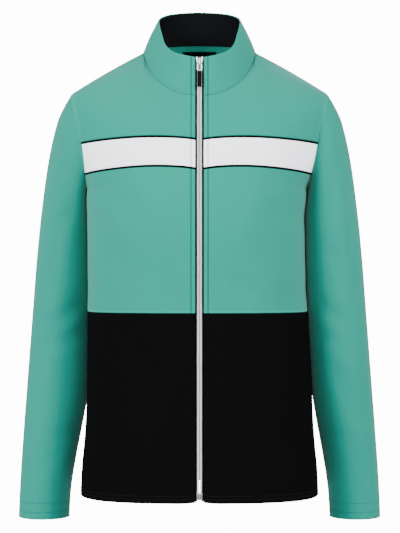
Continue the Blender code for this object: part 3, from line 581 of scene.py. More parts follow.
    def top_row(self, side: Side, face: str) -> Array:
        """Neck seam, then shoulder seam, from the middle to the shoulder point.

        Args:
            side: the wearer's side, drawn on the left.
            face: "front" or "back".

        Returns:
            The row's points.
        """
        places = self.neck_places()
        places = places[: self.neck_columns + 1] if face == "front" else places[self.neck_columns :][::-1]
        neck = self.stations(places)[0]
        share = np.linspace(0.0, 1.0, self.shoulder_columns + 1)[1:, None]
        shoulder = neck[-1] + (self.armhole_point(side, face, 0.0) - neck[-1]) * share
        shoulder[:, 2] += self.shoulder_bow * np.sin(math.pi * share[:, 0])
        return np.concatenate([neck, shoulder])

    def half_grid(self, side: Side, face: str) -> Array:
        """Coarse grid of one front or half back.

        Args:
            side: the wearer's side, drawn on the left.
            face: "front" or "back".

        Returns:
            Points, rows up, columns from the middle to the side edge.
        """
        grid = np.zeros((TOP_ROW + 1, self.columns + 1, 3))
        for row in range(HIGH_PIPING_ROW + 1):
            grid[row] = self.section(side, face, row)
        base, top = grid[HIGH_PIPING_ROW], self.top_row(side, face)
        neck_lean, shoulder_lean, tip_lean = np.array(self.leans[face])
        place = np.arange(self.columns + 1)
        to_shoulder = smooth(place / self.neck_columns)[:, None]
        to_tip = smooth((place - self.neck_columns) / self.shoulder_columns)[:, None]
        lean = neck_lean + (shoulder_lean - neck_lean) * to_shoulder + (tip_lean - shoulder_lean) * to_tip
        reach = self.yoke_fullness * np.linalg.norm(top - base, axis=1, keepdims=True)
        leave, arrive = unit(base - grid[HIGH_PIPING_ROW - 1]) * reach, unit(lean) * reach
        weight = (place / self.columns)[:, None] ** 2
        for row in range(HIGH_PIPING_ROW + 1, TOP_ROW + 1):
            line = cubic((row - HIGH_PIPING_ROW) / (TOP_ROW - HIGH_PIPING_ROW), base, leave, top, arrive)
            edge = self.armhole_point(side, face, self.row_size("armhole_angle", row))
            grid[row] = line + (edge - line[-1]) * weight
        if face == "front":
            grid[0, 0, 2] += self.hem_corner_rise
        return grid

    def body_side_x(self, side: Side, y: Array, z: Array) -> Array:
        """How far out the body's surface is at a depth and a level below the underarm.

        Args:
            side: the wearer's side, drawn on the left.
            y: depths of the places.
            z: levels of the places.

        Returns:
            Distances from the middle.
        """
        half = self.body_size("half_width", z) - self.press(side, z)
        depth, square = (
            np.where(y < 0.0, self.body_size("front_" + name, z), self.body_size("back_" + name, z))
            for name in ("depth", "square")
        )
        share = np.clip(1.0 - np.minimum(np.abs(y) / depth, 1.0) ** square, 0.0, 1.0)
        return half * share ** (1.0 / square)

    def sleeve_ring(self, side: Side, share: float, angle: Array) -> Array:
        """Ring of a sleeve on its own ellipse, at angles like the armhole's, negative at the back.

        Args:
            side: the wearer's side, drawn on the left.
            share: how far down the sleeve it lies, from 0 to 1.
            angle: degrees round the ring.

        Returns:
            The ring's points.
        """
        outer, inner = (
            np.array([self.sleeve_size(edge + "_x", share), 0.0, self.sleeve_size(edge + "_z", share)])
            for edge in ("outer", "inner")
        )
        inner[0] -= self.press(side, inner[2])
        forward = 0.0
        if side is Side.LEFT:
            forward = self.arm_forward * math.sin(math.pi * min(share / self.forward_until, 1.0))
        outer[0] *= 1.0 - self.forward_narrows * forward
        turn = np.radians(angle)[:, None]
        ring = (outer + inner) / 2 + (outer - inner) / 2 * np.cos(turn)
        middle_y = self.sleeve_size("middle_y", share) - forward
        ring[:, 1] = middle_y - self.sleeve_size("half_depth", share) * np.sin(turn[:, 0])
        return ring

    def sleeve_grid(self, side: Side, front: Array, back: Array) -> Array:
        """Coarse grid of a sleeve.

        Args:
            side: the wearer's side, drawn on the left.
            front: grid of that side's front, which gives half the armhole.
            back: grid of that side's half back, which gives the other half.

        Returns:
            Points, rows from cuff to armhole, columns from the underarm round the front.
        """
        armhole = np.concatenate([front[UNDERARM_ROW:, -1], back[UNDERARM_ROW + 1 : TOP_ROW, -1][::-1]])
        rise = [self.row_size("armhole_angle", row) for row in range(UNDERARM_ROW, TOP_ROW + 1)]
        angle = np.array(rise + [-a for a in rise[-2:0:-1]])
        even = 180.0 - np.arange(len(angle)) * 360.0 / len(angle)
        shape = armhole - self.sleeve_ring(side, 0.0, angle)
        rings = [armhole]
        for step in range(1, self.sleeve_rows + 1):
            share = (step / self.sleeve_rows) ** self.sleeve_row_growth
            fade = 1.0 - smooth(share / self.armhole_fade)
            ring = self.sleeve_ring(side, share, angle * fade + even * (1.0 - fade)) + shape * fade
            below = self.underarm_z - ring[:, 2]
            least = self.least_clearance
            clear = np.clip(least + self.clearance_slope * below, least, self.arm_clearance)
            limit = self.body_side_x(side, ring[:, 1], np.minimum(ring[:, 2], self.underarm_z)) + clear
            over = ring[:, 0] - limit
            pushed = limit + (over + np.sqrt(over**2 + self.arm_clearance**2)) / 2
            ring[:, 0] = np.where(below > 0.0, pushed, ring[:, 0])
            rings.append(ring)
        return np.array(rings[::-1])

    def collar_grid(self) -> Array:
        """Coarse grid of the collar: rows up, columns from the left zip edge round the back to the right.

        Returns:
            The grid's points.
        """
        half = self.neck_places()
        seam, rim = self.stations(np.concatenate([half, 2 * (len(self.neck) - 1) - half[::-1][1:]]))
        away = seam - np.array([0.0, self.neck_middle_y, 0.0])
        away[:, 2] = 0.0
        away[[0, -1], 0] = 0.0
        bulge = unit(away) * self.collar_bulge
        shares = np.linspace(0.0, 1.0, COLLAR_ROWS + 1)
        return np.array([seam * (1 - s) + rim * s + bulge * math.sin(math.pi * s) for s in shares])

    def surfaces(self) -> dict[str, Surface]:
        """All surfaces by name, with their faces pointing out.

        Returns:
            The surfaces, the left side's first.
        """
        found: dict[str, Surface] = {}
        halves: dict[Side, Array] = {}
        flip = np.array([-1.0, 1.0, 1.0])
        round_front = TOP_ROW - UNDERARM_ROW
        for side in Side:
            front, back = self.half_grid(side, "front"), self.half_grid(side, "back")
            sleeve = self.sleeve_grid(side, front, back)
            neck, edge, corners = self.neck_columns, self.columns, (0, round_front)
            if side is Side.RIGHT:
                front, sleeve, back = (front * flip)[:, ::-1], (sleeve * flip)[:, ::-1], back * flip
                neck, edge, corners = self.shoulder_columns, 0, (round_front - 1, 2 * round_front - 1)
            halves[side] = back
            name, at_neck, at_side = side.value, {TOP_ROW: (neck,)}, {edge: (UNDERARM_ROW,)}
            found["front_" + name] = Surface(front, "front", name, at_neck, at_side)
            round_arm = {self.sleeve_rows: corners}
            found["sleeve_" + name] = Surface(sleeve, "sleeve", name, round_arm, closed=True)
        whole = np.concatenate([halves[Side.LEFT][:, ::-1], halves[Side.RIGHT][:, 1:]], axis=1)
        last = 2 * self.columns
        turns = {TOP_ROW: (self.shoulder_columns, last - self.shoulder_columns)}
        found["back"] = Surface(whole, "back", "", turns, {0: (UNDERARM_ROW,), last: (UNDERARM_ROW,)})
        necks = (self.neck_columns, 3 * self.neck_columns)
        found["collar"] = Surface(self.collar_grid(), "collar", "", {0: necks})
        return found


CREASES: tuple[Crease, ...] = tuple(
    Crease(where, *row)
    for where, rows in {
        "front": (
            (0.164, -0.196, 0.104, -0.236, 0.012, 0.0024),
            (0.163, -0.236, 0.122, -0.262, 0.011, 0.0016),
            (0.158, -0.350, 0.104, -0.372, 0.016, 0.0018),
            (0.118, -0.560, 0.109, -0.660, 0.016, 0.0026),
            (0.120, -0.200, 0.086, -0.262, 0.020, 0.0034, "right"),
            (0.136, -0.272, 0.094, -0.356, 0.022, 0.0034, "right"),
            (0.062, -0.232, 0.038, -0.330, 0.018, -0.0016, "right"),
            (0.104, -0.198, 0.128, -0.262, 0.017, 0.0030, "left"),
            (0.034, -0.330, 0.084, -0.366, 0.015, 0.0022, "left"),
            (0.076, -0.214, 0.052, -0.300, 0.019, -0.0018, "left"),
            (0.096, -0.046, 0.158, -0.088, 0.014, 0.0022, "right"),
            (0.102, -0.052, 0.142, -0.108, 0.016, 0.0026, "left"),
            (0.060, -0.440, 0.082, -0.590, 0.020, 0.0030, "left"),
            (0.092, -0.410, 0.060, -0.530, 0.018, 0.0026, "right"),
        ),
        "back": (
            (0.160, -0.190, 0.095, -0.225, 0.014, 0.0026),
            (0.150, -0.330, 0.060, -0.362, 0.018, 0.0024),
            (0.150, -0.395, 0.070, -0.408, 0.017, 0.0020),
            (0.092, -0.540, 0.086, -0.660, 0.018, 0.0028),
            (0.052, -0.060, 0.096, -0.120, 0.018, 0.0024),
            (0.110, -0.240, 0.070, -0.318, 0.020, 0.0030),
            (0.030, -0.270, 0.022, -0.372, 0.018, 0.0022),
            (0.040, -0.440, 0.058, -0.560, 0.021, 0.0028),
        ),
        "collar": (
            (0.038, -0.014, 0.034, -0.052, 0.009, 0.0018, "right"),
            (0.033, -0.018, 0.036, -0.050, 0.008, 0.0013, "left"),
            (0.034, 0.020, 0.044, 0.052, 0.010, 0.0012),
        ),
        "sleeve": (
            (0.176, -0.372, 0.214, -0.402, 0.012, 0.0026),
            (0.178, -0.418, 0.220, -0.432, 0.011, 0.0022),
            (0.186, -0.560, 0.222, -0.574, 0.010, 0.0014),
            (0.196, -0.176, 0.190, -0.240, 0.012, 0.0020),
            (0.212, -0.130, 0.228, -0.290, 0.013, 0.0022, "left"),
            (0.205, -0.250, 0.226, -0.360, 0.012, 0.0024, "right"),
            (0.228, -0.395, 0.243, -0.520, 0.012, 0.0020, "right"),
            (0.196, -0.300, 0.236, -0.352, 0.011, 0.0026, "left"),
            (0.200, -0.470, 0.238, -0.540, 0.012, 0.0022, "left"),
            (0.214, -0.600, 0.246, -0.622, 0.010, 0.0014, "right"),
            (0.188, -0.230, 0.222, -0.262, 0.012, 0.0026, "", True),
            (0.184, -0.362, 0.236, -0.380, 0.011, 0.0030, "", True),
            (0.186, -0.404, 0.232, -0.436, 0.012, 0.0026, "", True),
            (0.200, -0.540, 0.240, -0.556, 0.011, 0.0020, "", True),
        ),
    }.items()
    for row in rows
)
CREASE_FREE_X = 0.03                  # a body crease ends this near to the middle
CREASE_START = 0.2                    # how far along its swell a body crease begins
SLEEVE_TURN = 1.5                     # how soon a sleeve's crease ends as the sleeve turns away


def crease_depth(surface: Surface, points: Array, normals: Array) -> Array:
    """How deep the creases are at each point of a surface.

    Args:
        surface: the surface that the points are on.
        points: points on it.
        normals: outward normals there.

    Returns:
        The depth, in metres.
    """
    depth = np.zeros(points.shape[:-1])
    flat = np.stack([np.abs(points[..., 0]), points[..., 2]], axis=-1)
    beside_middle = smooth(flat[..., 0] / CREASE_FREE_X)
    for crease in CREASES:
        if crease.where != surface.where or (crease.only and surface.side and crease.only != surface.side):
            continue
        start = np.array([crease.x1, crease.z1])
        along = np.array([crease.x2, crease.z2]) - start
        share = np.clip(((flat - start) @ along) / (along @ along), 0.0, 1.0)
        away = np.linalg.norm(flat - start - share[..., None] * along, axis=-1)
        if crease.where == "sleeve":
            shown = smooth((SLEEVE_TURN if crease.rear else -SLEEVE_TURN) * normals[..., 1])
        else:
            shown = beside_middle * np.sin(math.pi * (CREASE_START + (1.0 - CREASE_START) * share))
        if crease.only and not surface.side:
            shown = shown * (points[..., 0] * Side(crease.only).sign > 0.0)
        depth += crease.depth * shown * np.exp(-((away / crease.width) ** 2))
    return depth


# ---- finishes ----------------------------------------------------------
RIDGE_HIGHLIGHT = 0.45                    # painted highlight: how much lighter the cloth is painted on the raised line beside a seam
GRAIN_STRENGTH, GRAIN_DEPTH = 0.35, 0.00012
GRAIN_WAVER = 0.4
WAVE_REPEAT = 0.314159                # length of the wave texture's repeat at scale 1
TONE_SCALE, TONE_DETAIL = 900.0, 3.0
STITCH_SHADE = 0.62                    # painted shade: what is left of the colour in the line beside the zip
STITCH_NEAR, STITCH_FAR = 0.0003, 0.0014
STITCH_BEHIND_Y = -0.03               # the painted shade is on the fronts only


class Weave(Enum):
    """Kinds of surface that a finish can have."""

    KNIT = "knit"
    WOVEN = "woven"
    PLAIN = "plain"


GRAIN_PITCH = {Weave.KNIT: (0.0009, 0.0007), Weave.WOVEN: (0.0016, 0.0008)}


def fill(tree: bpy.types.NodeTree, node: bpy.types.Node, inputs: dict) -> None:
    """Fills a node's inputs with values or with the sockets of other nodes.

    Args:
        tree: the tree that the node is in.
        node: the node.
        inputs: a value or a socket, by each input's name or number.
    """
    for key, value in inputs.items():
        if isinstance(value, bpy.types.NodeSocket):
            tree.links.new(value, node.inputs[key])
        else:
            node.inputs[key].default_value = value


def add_node(
    tree: bpy.types.NodeTree, kind: str, inputs: dict | None = None, **settings: object
) -> bpy.types.Node:
    """Adds a shader node.

    Args:
        tree: where it goes.
        kind: its kind, as in the name of its class.
        inputs: values or sockets for its inputs.
        **settings: values for its own properties.

    Returns:
        The node.
    """
    node = tree.nodes.new("ShaderNode" + kind)
    for name, value in settings.items():
        setattr(node, name, value)
    fill(tree, node, inputs or {})
    return node


def reckon(tree: bpy.types.NodeTree, operation: str, *values: object) -> bpy.types.NodeSocket:
    """Result of a Math node on numbers or sockets."""
    return add_node(tree, "Math", dict(enumerate(values)), operation=operation).outputs[0]


@dataclass(frozen=True)
class Finish:
    """Colour and surface of a material, by the record's slot."""

    slot: str
    colour: Size
    roughness: float
    weave: Weave = Weave.PLAIN
    metallic: float = 0.0
    tone: float = 0.04
    sheen: float = 0.0
    specular: float = 0.5
    label: str = ""

    def material(self) -> bpy.types.Material:
        """The material, made once.

        Returns:
            The material.
        """
        name = (self.label or self.slot) + "_look"
        if name in bpy.data.materials:
            return bpy.data.materials[name]
        made = bpy.data.materials.new(name)
        made.use_nodes = True
        made.diffuse_color = (*self.colour, 1.0)
        tree = made.node_tree
        inputs = {
            "Colour": (*self.colour, 1.0),
            "Amount": self.tone,
            "Place": add_node(tree, "TexCoord").outputs["Object"],
            # painted highlight beside seams, from the mesh
            "Highlight": add_node(tree, "Attribute", attribute_name="ridge_highlight").outputs["Fac"],
        }
        # random tone, with painted highlights beside seams and painted shade beside the zip
        tone = add_node(tree, "Group", inputs, node_tree=tone_and_painted_light_group())
        looks = {
            "Roughness": self.roughness,
            "Metallic": self.metallic,
            "Sheen Weight": self.sheen,
            "Specular IOR Level": self.specular,
            "Base Color": tone.outputs["Colour"],
        }
        if self.weave is not Weave.PLAIN:
            flat = add_node(tree, "UVMap", uv_map="cloth").outputs["UV"]
            grain = add_node(tree, "Group", {"Place": flat}, node_tree=grain_group(self.weave))
            bump = {"Strength": GRAIN_STRENGTH, "Distance": GRAIN_DEPTH, "Height": grain.outputs["Height"]}
            looks["Normal"] = add_node(tree, "Bump", bump).outputs["Normal"]
        fill(tree, tree.nodes["Principled BSDF"], looks)
        return made


def new_group(
    name: str, inputs: dict[str, str], output: tuple[str, str]
) -> tuple[bpy.types.NodeTree, bpy.types.Node, bpy.types.Node]:
    """A shader node group.

    Args:
        name: its name.
        inputs: its inputs, name and kind.
        output: its output's name and kind.

    Returns:
        The group, its input node and its output node.
    """
    group = bpy.data.node_groups.new(name, "ShaderNodeTree")
    for socket, kind in inputs.items():
        group.interface.new_socket(name=socket, in_out="INPUT", socket_type="NodeSocket" + kind)
    group.interface.new_socket(name=output[0], in_out="OUTPUT", socket_type="NodeSocket" + output[1])
    return group, group.nodes.new("NodeGroupInput"), group.nodes.new("NodeGroupOutput")


def stitch_shade(group: bpy.types.NodeTree, place: bpy.types.NodeSocket) -> bpy.types.NodeSocket:
    """Painted shade of the groove where the topstitching beside the zip pulls the cloth in: a soft dark
    line.

    Args:
        group: the group that the nodes go in.
        place: the place in the object's own coordinates.

    Returns:
        A factor for the colour, 1 away from the line.
    """
    parts = add_node(group, "SeparateXYZ", {0: place})
    beside = reckon(group, "SUBTRACT", reckon(group, "ABSOLUTE", parts.outputs["X"]), ZIP_STITCH_X)
    reach = {
        "Value": reckon(group, "ABSOLUTE", beside),
        "From Min": STITCH_NEAR,
        "From Max": STITCH_FAR,
        "To Min": STITCH_SHADE,
    }
    soft = add_node(group, "MapRange", reach, interpolation_type="SMOOTHSTEP")
    behind = reckon(group, "GREATER_THAN", parts.outputs["Y"], STITCH_BEHIND_Y)
    return reckon(group, "MAXIMUM", soft.outputs["Result"], behind)


def tone_and_painted_light_group() -> bpy.types.NodeTree:
    """Group that varies a colour softly from place to place, paints a highlight on the raised lines beside
    seams and paints shade on the stitch line beside the zip.

    Returns:
        The group, made once.
    """
    if "Tone and painted light" in bpy.data.node_groups:
        return bpy.data.node_groups["Tone and painted light"]
    kinds = {"Colour": "Color", "Amount": "Float", "Place": "Vector", "Highlight": "Float"}
    group, inputs, outputs = new_group("Tone and painted light", kinds, ("Colour", "Color"))
    colour, amount, place, ridge_highlight = (inputs.outputs[name] for name in kinds)
    noise = add_node(group, "TexNoise", {"Vector": place, "Scale": TONE_SCALE, "Detail": TONE_DETAIL})
    centred = reckon(group, "SUBTRACT", noise.outputs["Fac"], 0.5)
    # painted highlight: lighter on the raised line beside a seam
    lit = reckon(group, "MULTIPLY_ADD", ridge_highlight, RIDGE_HIGHLIGHT, 1.0)
    varied = reckon(group, "MULTIPLY_ADD", centred, amount, lit)
    # painted shade of the stitch line beside the zip
    shade = reckon(group, "MULTIPLY", varied, stitch_shade(group, place))
    tint = add_node(group, "VectorMath", {0: colour, "Scale": shade}, operation="SCALE")
    fill(group, outputs, {"Colour": tint.outputs["Vector"]})
    return group


def grain_group(weave: Weave) -> bpy.types.NodeTree:
    """Group that gives the height of a knit's wales or a weave's ribs on the flat cloth.

    Args:
        weave: the kind of cloth.

    Returns:
        The group, made once.
    """
    name = "Grain " + weave.value
    if name in bpy.data.node_groups:
        return bpy.data.node_groups[name]
    group, inputs, outputs = new_group(name, {"Place": "Vector"}, ("Height", "Float"))
    waves = []
    for axis, pitch in zip("XY", GRAIN_PITCH[weave]):
        wave = {"Vector": inputs.outputs["Place"], "Scale": WAVE_REPEAT / pitch, "Distortion": GRAIN_WAVER}
        waves.append(add_node(group, "TexWave", wave, bands_direction=axis).outputs["Fac"])
    fill(group, outputs, {"Height": reckon(group, "ADD", *waves)})
    return group


TEAL = Finish("teal_knit", (0.0030, 0.1770, 0.1345), 0.85, Weave.KNIT, sheen=0.12, specular=0.05)
BLACK = Finish("black_knit", (0.0016, 0.0016, 0.0018), 0.90, Weave.KNIT, tone=0.2, specular=0.02)
WHITE = Finish("white_knit", (0.900, 0.915, 0.970), 0.85, Weave.KNIT, specular=0.0)
FACING = Finish(
    "black_knit", (0.0036, 0.0038, 0.0046), 0.90, Weave.KNIT, tone=0.2, specular=0.02, label="facing_knit"
)
PIPING = Finish("black_piping", (0.0010, 0.0010, 0.0012), 0.70, specular=0.02)
LABEL = Finish("black_label", (0.0020, 0.0020, 0.0024), 0.60, Weave.WOVEN, specular=0.02)
TAPE = Finish("black_tape", (0.0020, 0.0024, 0.0024), 0.80, Weave.WOVEN, specular=0.0)
METAL = Finish("silver_metal", (0.620, 0.620, 0.610), 0.42, metallic=1.0, tone=0.02)
CAST = Finish("silver_metal", (0.430, 0.430, 0.420), 0.30, metallic=1.0, tone=0.02, label="cast_metal")
RUBBER = Finish("black_rubber", (0.0012, 0.0012, 0.0012), 0.60, specular=0.05)
# teal threads darker than the cloth: the thread's colour with the shade of the stitch line painted in; the
# cuff's is paler so those lines show faintly
SHADED_TEAL_THREAD = Finish("teal_knit", (0.0040, 0.0950, 0.0730), 0.75, specular=0.0, label="shaded_teal_thread")
SHADED_CUFF_THREAD = Finish("teal_knit", (0.0038, 0.1340, 0.1020), 0.75, specular=0.0, label="shaded_cuff_thread")
BLACK_THREAD = Finish("black_knit", (0.0070, 0.0070, 0.0080), 0.70, specular=0.02, label="black_thread")
WHITE_THREAD = Finish("white_knit", (0.520, 0.530, 0.560), 0.75, specular=0.0, label="white_thread")


def settle(obj: bpy.types.Object, finish: Finish, body: str = "jacket", node: str = "") -> None:
    """Gives a finished piece its material, its body and the solid that it stands for.

    Args:
        obj: the piece.
        finish: its finish.
        body: the body that it moves with.
        node: the solid that it stands for, where there is one.
    """
    obj.data.materials.clear()
    obj.data.materials.append(finish.material())
    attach(obj, body)
    if node:
        obj.name = node + "_look"
        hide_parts(node)
    LOG.info("piece %s in %s, moves with %s", obj.name, finish.slot, body)


# ---- cloth -------------------------------------------------------------
def new_object(name: str, data: bpy.types.ID) -> bpy.types.Object:
    """A new object in the scene.

    Args:
        name: its name.
        data: its mesh, curve, lamp or camera.

    Returns:
        The object.
    """
    made = bpy.data.objects.new(name, data)
    bpy.context.scene.collection.objects.link(made)
    return made


def laid_flat(points: Array) -> tuple[Array, Array]:
    """How far each point of a grid lies across it and up it, along the grid's own lines."""
    return run_of(points.transpose(1, 0, 2)).T, run_of(points)


def add_mesh(
    name: str,
    points: Array,
    faces: list[Face],
    uv: Array | None = None,
    ridge_highlight: Array | None = None,
) -> bpy.types.Object:
    """A new object from points and faces, shaded smooth.

    Args:
        name: the object's name.
        points: its points.
        faces: numbers of the points round each face.
        uv: for each point, its place on the flat cloth in metres.
        ridge_highlight: for each point, how much painted highlight it takes on the raised line beside a
            seam, from 0 to 1.

    Returns:
        The object.
    """
    mesh = bpy.data.meshes.new(name)
    mesh.from_pydata(np.asarray(points).reshape(-1, 3).tolist(), [], faces)
    if uv is not None:
        layer = mesh.uv_layers.new(name="cloth")
        index = np.empty(len(mesh.loops), dtype=np.int32)
        mesh.loops.foreach_get("vertex_index", index)
        layer.data.foreach_set("uv", np.asarray(uv, np.float32).reshape(-1, 2)[index].ravel())
    # where a highlight is painted beside seams, kept as a point attribute for the material
    if ridge_highlight is not None:
        lit = mesh.attributes.new("ridge_highlight", "FLOAT", "POINT")
        lit.data.foreach_set("value", np.asarray(ridge_highlight, np.float32).ravel())
    mesh.shade_smooth()
    return new_object(name, mesh)


class Seams:
    """Outward normals that surfaces share along the seams between them, so that their walls are mitred."""

    def __init__(self, surfaces: dict[str, Surface], reach: float = 0.0060) -> None:
        """Gathers the edges of all surfaces.

        Args:
            surfaces: the jacket's surfaces by name.
            reach: how far from a seam its normals still tell.
        """
        self.reach = reach
        self.trees: list[tuple[Surface, kdtree.KDTree, Array]] = []
        for surface in surfaces.values():
            points, normals = surface.rim()
            tree = kdtree.KDTree(len(points))
            for index, point in enumerate(points):
                tree.insert(point, index)
            tree.balance()
            self.trees.append((surface, tree, normals))

    def share(self, own: Surface, points: Array, normals: Array, near: Array) -> Array:
        """The normals of a piece, turned towards its neighbours' along the seams.

        Args:
            own: the surface that the piece is cut from.
            points: the piece's points.
            normals: its normals.
            near: which points lie near a sewn edge.

        Returns:
            The shared normals.
        """
        shared = normals.copy()
        for row, column in np.argwhere(near):
            for surface, tree, others in self.trees:
                if surface is own:
                    continue
                _, index, distance = tree.find(points[row, column])
                if distance < self.reach:
                    shared[row, column] += others[index] * (1.0 - distance / self.reach)
        return unit(shared)


class Edges(NamedTuple):
    """An amount for each edge of a cut piece."""

    bottom: float = 0.0
    top: float = 0.0
    start: float = 0.0
    end: float = 0.0


@dataclass
class Piece:
    """One cut piece of cloth: a stretch of a surface, between two rows and two columns."""

    name: str
    finish: Finish
    surface: Surface
    low: float
    high: float
    left: float = 0.0
    right: float = 0.0
    sewn: Edges = Edges()
    drawn: Edges = Edges()
    # edges beside which a highlight is painted on the cloth
    highlit: Edges = Edges()
    depth: float = 0.0
    thickness: float = WALL
    steps: int = 4
    near: tuple[float, ...] = (0.0, 0.0006, 0.0013, 0.0022, 0.0040)
    clear_of_near: float = 1.4
    roll_width: float = 0.0022
    roll_depth: float = 0.0007
    # how far from the seam the painted highlight is brightest
    highlight_place: float = 0.0013
    draw_length: float = 0.0080
    edge_round: float = 0.3
    seam_reaches: float = 1.5

    def places(self, low: float, high: float, axis: int) -> Array:
        """Places between two rows or columns, closer together near both ends.

        Args:
            low: where the piece starts.
            high: where it ends.
            axis: 0 for rows, 1 for columns.

        Returns:
            The places, rising.
        """
        cell = float(np.linalg.norm(np.diff(self.surface.grid, axis=axis), axis=-1).mean())
        near = np.array(self.near) / cell
        inner = np.arange(math.floor(low * self.steps) + 1, math.ceil(high * self.steps)) / self.steps
        margin = near[-1] * self.clear_of_near
        inner = inner[(inner > low + margin) & (inner < high - margin)]
        return np.concatenate([low + near, inner, (high - near)[::-1]])

    def cut_area(self, points: Array) -> float:
        """Area of a grid of points, all round where the surface is closed.

        Args:
            points: the grid.

        Returns:
            The area, in square metres.
        """
        if self.surface.closed:
            points = np.concatenate([points, points[:, :1]], axis=1)
        cells = np.cross(points[1:, 1:] - points[:-1, :-1], points[1:, :-1] - points[:-1, 1:])
        return float(np.linalg.norm(cells, axis=-1).sum() / 2)

    def build(self, seams: Seams) -> bpy.types.Object:
        """Makes the piece's closed shell, its edges rounded and its sewn edges rolled into the seam.

        Args:
            seams: the normals that neighbours share.

        Returns:
            The piece.
        """
        ring = self.surface.closed
        rows = self.places(self.low, self.high, 0)
        if ring:
            columns = np.arange(self.surface.grid.shape[1] * self.steps) / self.steps
        else:
            columns = self.places(self.left, self.right, 1)
        points, normals = self.surface.skin(rows, columns)
        across, up = laid_flat(points)
        away = {"bottom": up, "top": up[-1:] - up, "start": across, "end": across[:, -1:] - across}
        near_seam = np.zeros(points.shape[:2], dtype=bool)
        for edge, distance in away.items():
            if getattr(self.sewn, edge):
                near_seam |= distance < self.seam_reaches * seams.reach
        normals = seams.share(self.surface, points, normals, near_seam)
        points = points - normals * self.depth
        up_way, across_way = unit(np.gradient(points, axis=0)), unit(np.gradient(points, axis=1))
        ways = {"bottom": up_way, "top": -up_way, "start": across_way, "end": -across_way}
        shift, sink, ridge_highlight = np.zeros_like(points), np.zeros(points.shape[:2]), np.zeros(points.shape[:2])
        for edge, way in ways.items():
            fade = np.clip(1.0 - away[edge] / self.draw_length, 0.0, 1.0) * getattr(self.drawn, edge)
            shift += way * fade[..., None]
            near = np.clip(1.0 - away[edge] / self.roll_width, 0.0, 1.0) ** 2
            sink = np.maximum(sink, near * self.roll_depth * getattr(self.sewn, edge))
            # a highlight is painted on the cloth beside these edges
            if getattr(self.highlit, edge):
                beside = np.abs(away[edge] / self.highlight_place - 1.0)
                ridge_highlight = np.maximum(ridge_highlight, np.clip(1.0 - beside, 0.0, 1.0))
        closing = float(np.linalg.norm(points[:, 0] - points[:, -1], axis=-1).max()) if ring else 0.0
        flat = (float(across.max()) + closing, float(up.max()))
        area = min(self.cut_area(points), flat[0] * flat[1])
        points = points + shift - normals * sink[..., None]
        made = self.shell(points, normals, np.stack([across, up], axis=-1), ring, ridge_highlight)
        settle(made, self.finish, node=self.name)
        LOG.info("%s flat %.0f x %.0f mm, %.0f cm2", self.name, flat[0] * 1e3, flat[1] * 1e3, area * 1e4)
        return made

    def shell(
        self, points: Array, normals: Array, uv: Array, ring: bool, ridge_highlight: Array | None = None
    ) -> bpy.types.Object:
        """A closed shell of the piece's thickness behind a grid, with a round edge.

        Args:
            points: the grid of its outer face.
            normals: outward normals there.
            uv: places of the points on the flat cloth.
            ring: whether the columns run round and meet themselves.
            ridge_highlight: how much painted highlight the points take, on the raised line beside a seam.

        Returns:
            The object.
        """
        rows, columns = points.shape[:2]
        steps = columns if ring else columns - 1
        inner = points - normals * self.thickness
        count = rows * columns

        def at(row: int, column: int) -> int:
            """Number of a point of the outer face."""
            return row * columns + column % columns

        faces = [
            (at(r, c), at(r, c + 1), at(r + 1, c + 1), at(r + 1, c))
            for r in range(rows - 1)
            for c in range(steps)
        ]
        faces += [tuple(count + k for k in face[::-1]) for face in faces]
        bottom = [(0, c) for c in range(columns)]
        top = [(rows - 1, c) for c in reversed(range(columns))]
        if ring:
            loops = [bottom, top]
        else:
            up_end = [(r, columns - 1) for r in range(1, rows - 1)]
            down_start = [(r, 0) for r in range(rows - 2, 0, -1)]
            loops = [bottom + up_end + top + down_start]
        every = [points.reshape(-1, 3), inner.reshape(-1, 3)]
        every_uv = [uv.reshape(-1, 2)] * 2
        for loop in loops:
            base = sum(len(part) for part in every)
            where = tuple(np.array(loop).T)
            outer_rim, inner_rim = points[where], inner[where]
            along = np.roll(outer_rim, -1, axis=0) - np.roll(outer_rim, 1, axis=0)
            outward = unit(np.cross(along, normals[where]))
            every.append((outer_rim + inner_rim) / 2 + outward * self.thickness * self.edge_round)
            every_uv.append(uv[where])
            for k in range(len(loop)):
                n = (k + 1) % len(loop)
                a, b = at(*loop[k]), at(*loop[n])
                faces += [(b, a, base + k, base + n), (base + n, base + k, count + a, count + b)]
        every = np.concatenate(every)
        # painted highlight beside seams, on the outer face only
        lit = np.zeros(len(every))
        if ridge_highlight is not None:
            lit[:count] = ridge_highlight.ravel()
        return add_mesh(self.name, every, faces, np.concatenate(every_uv), lit)


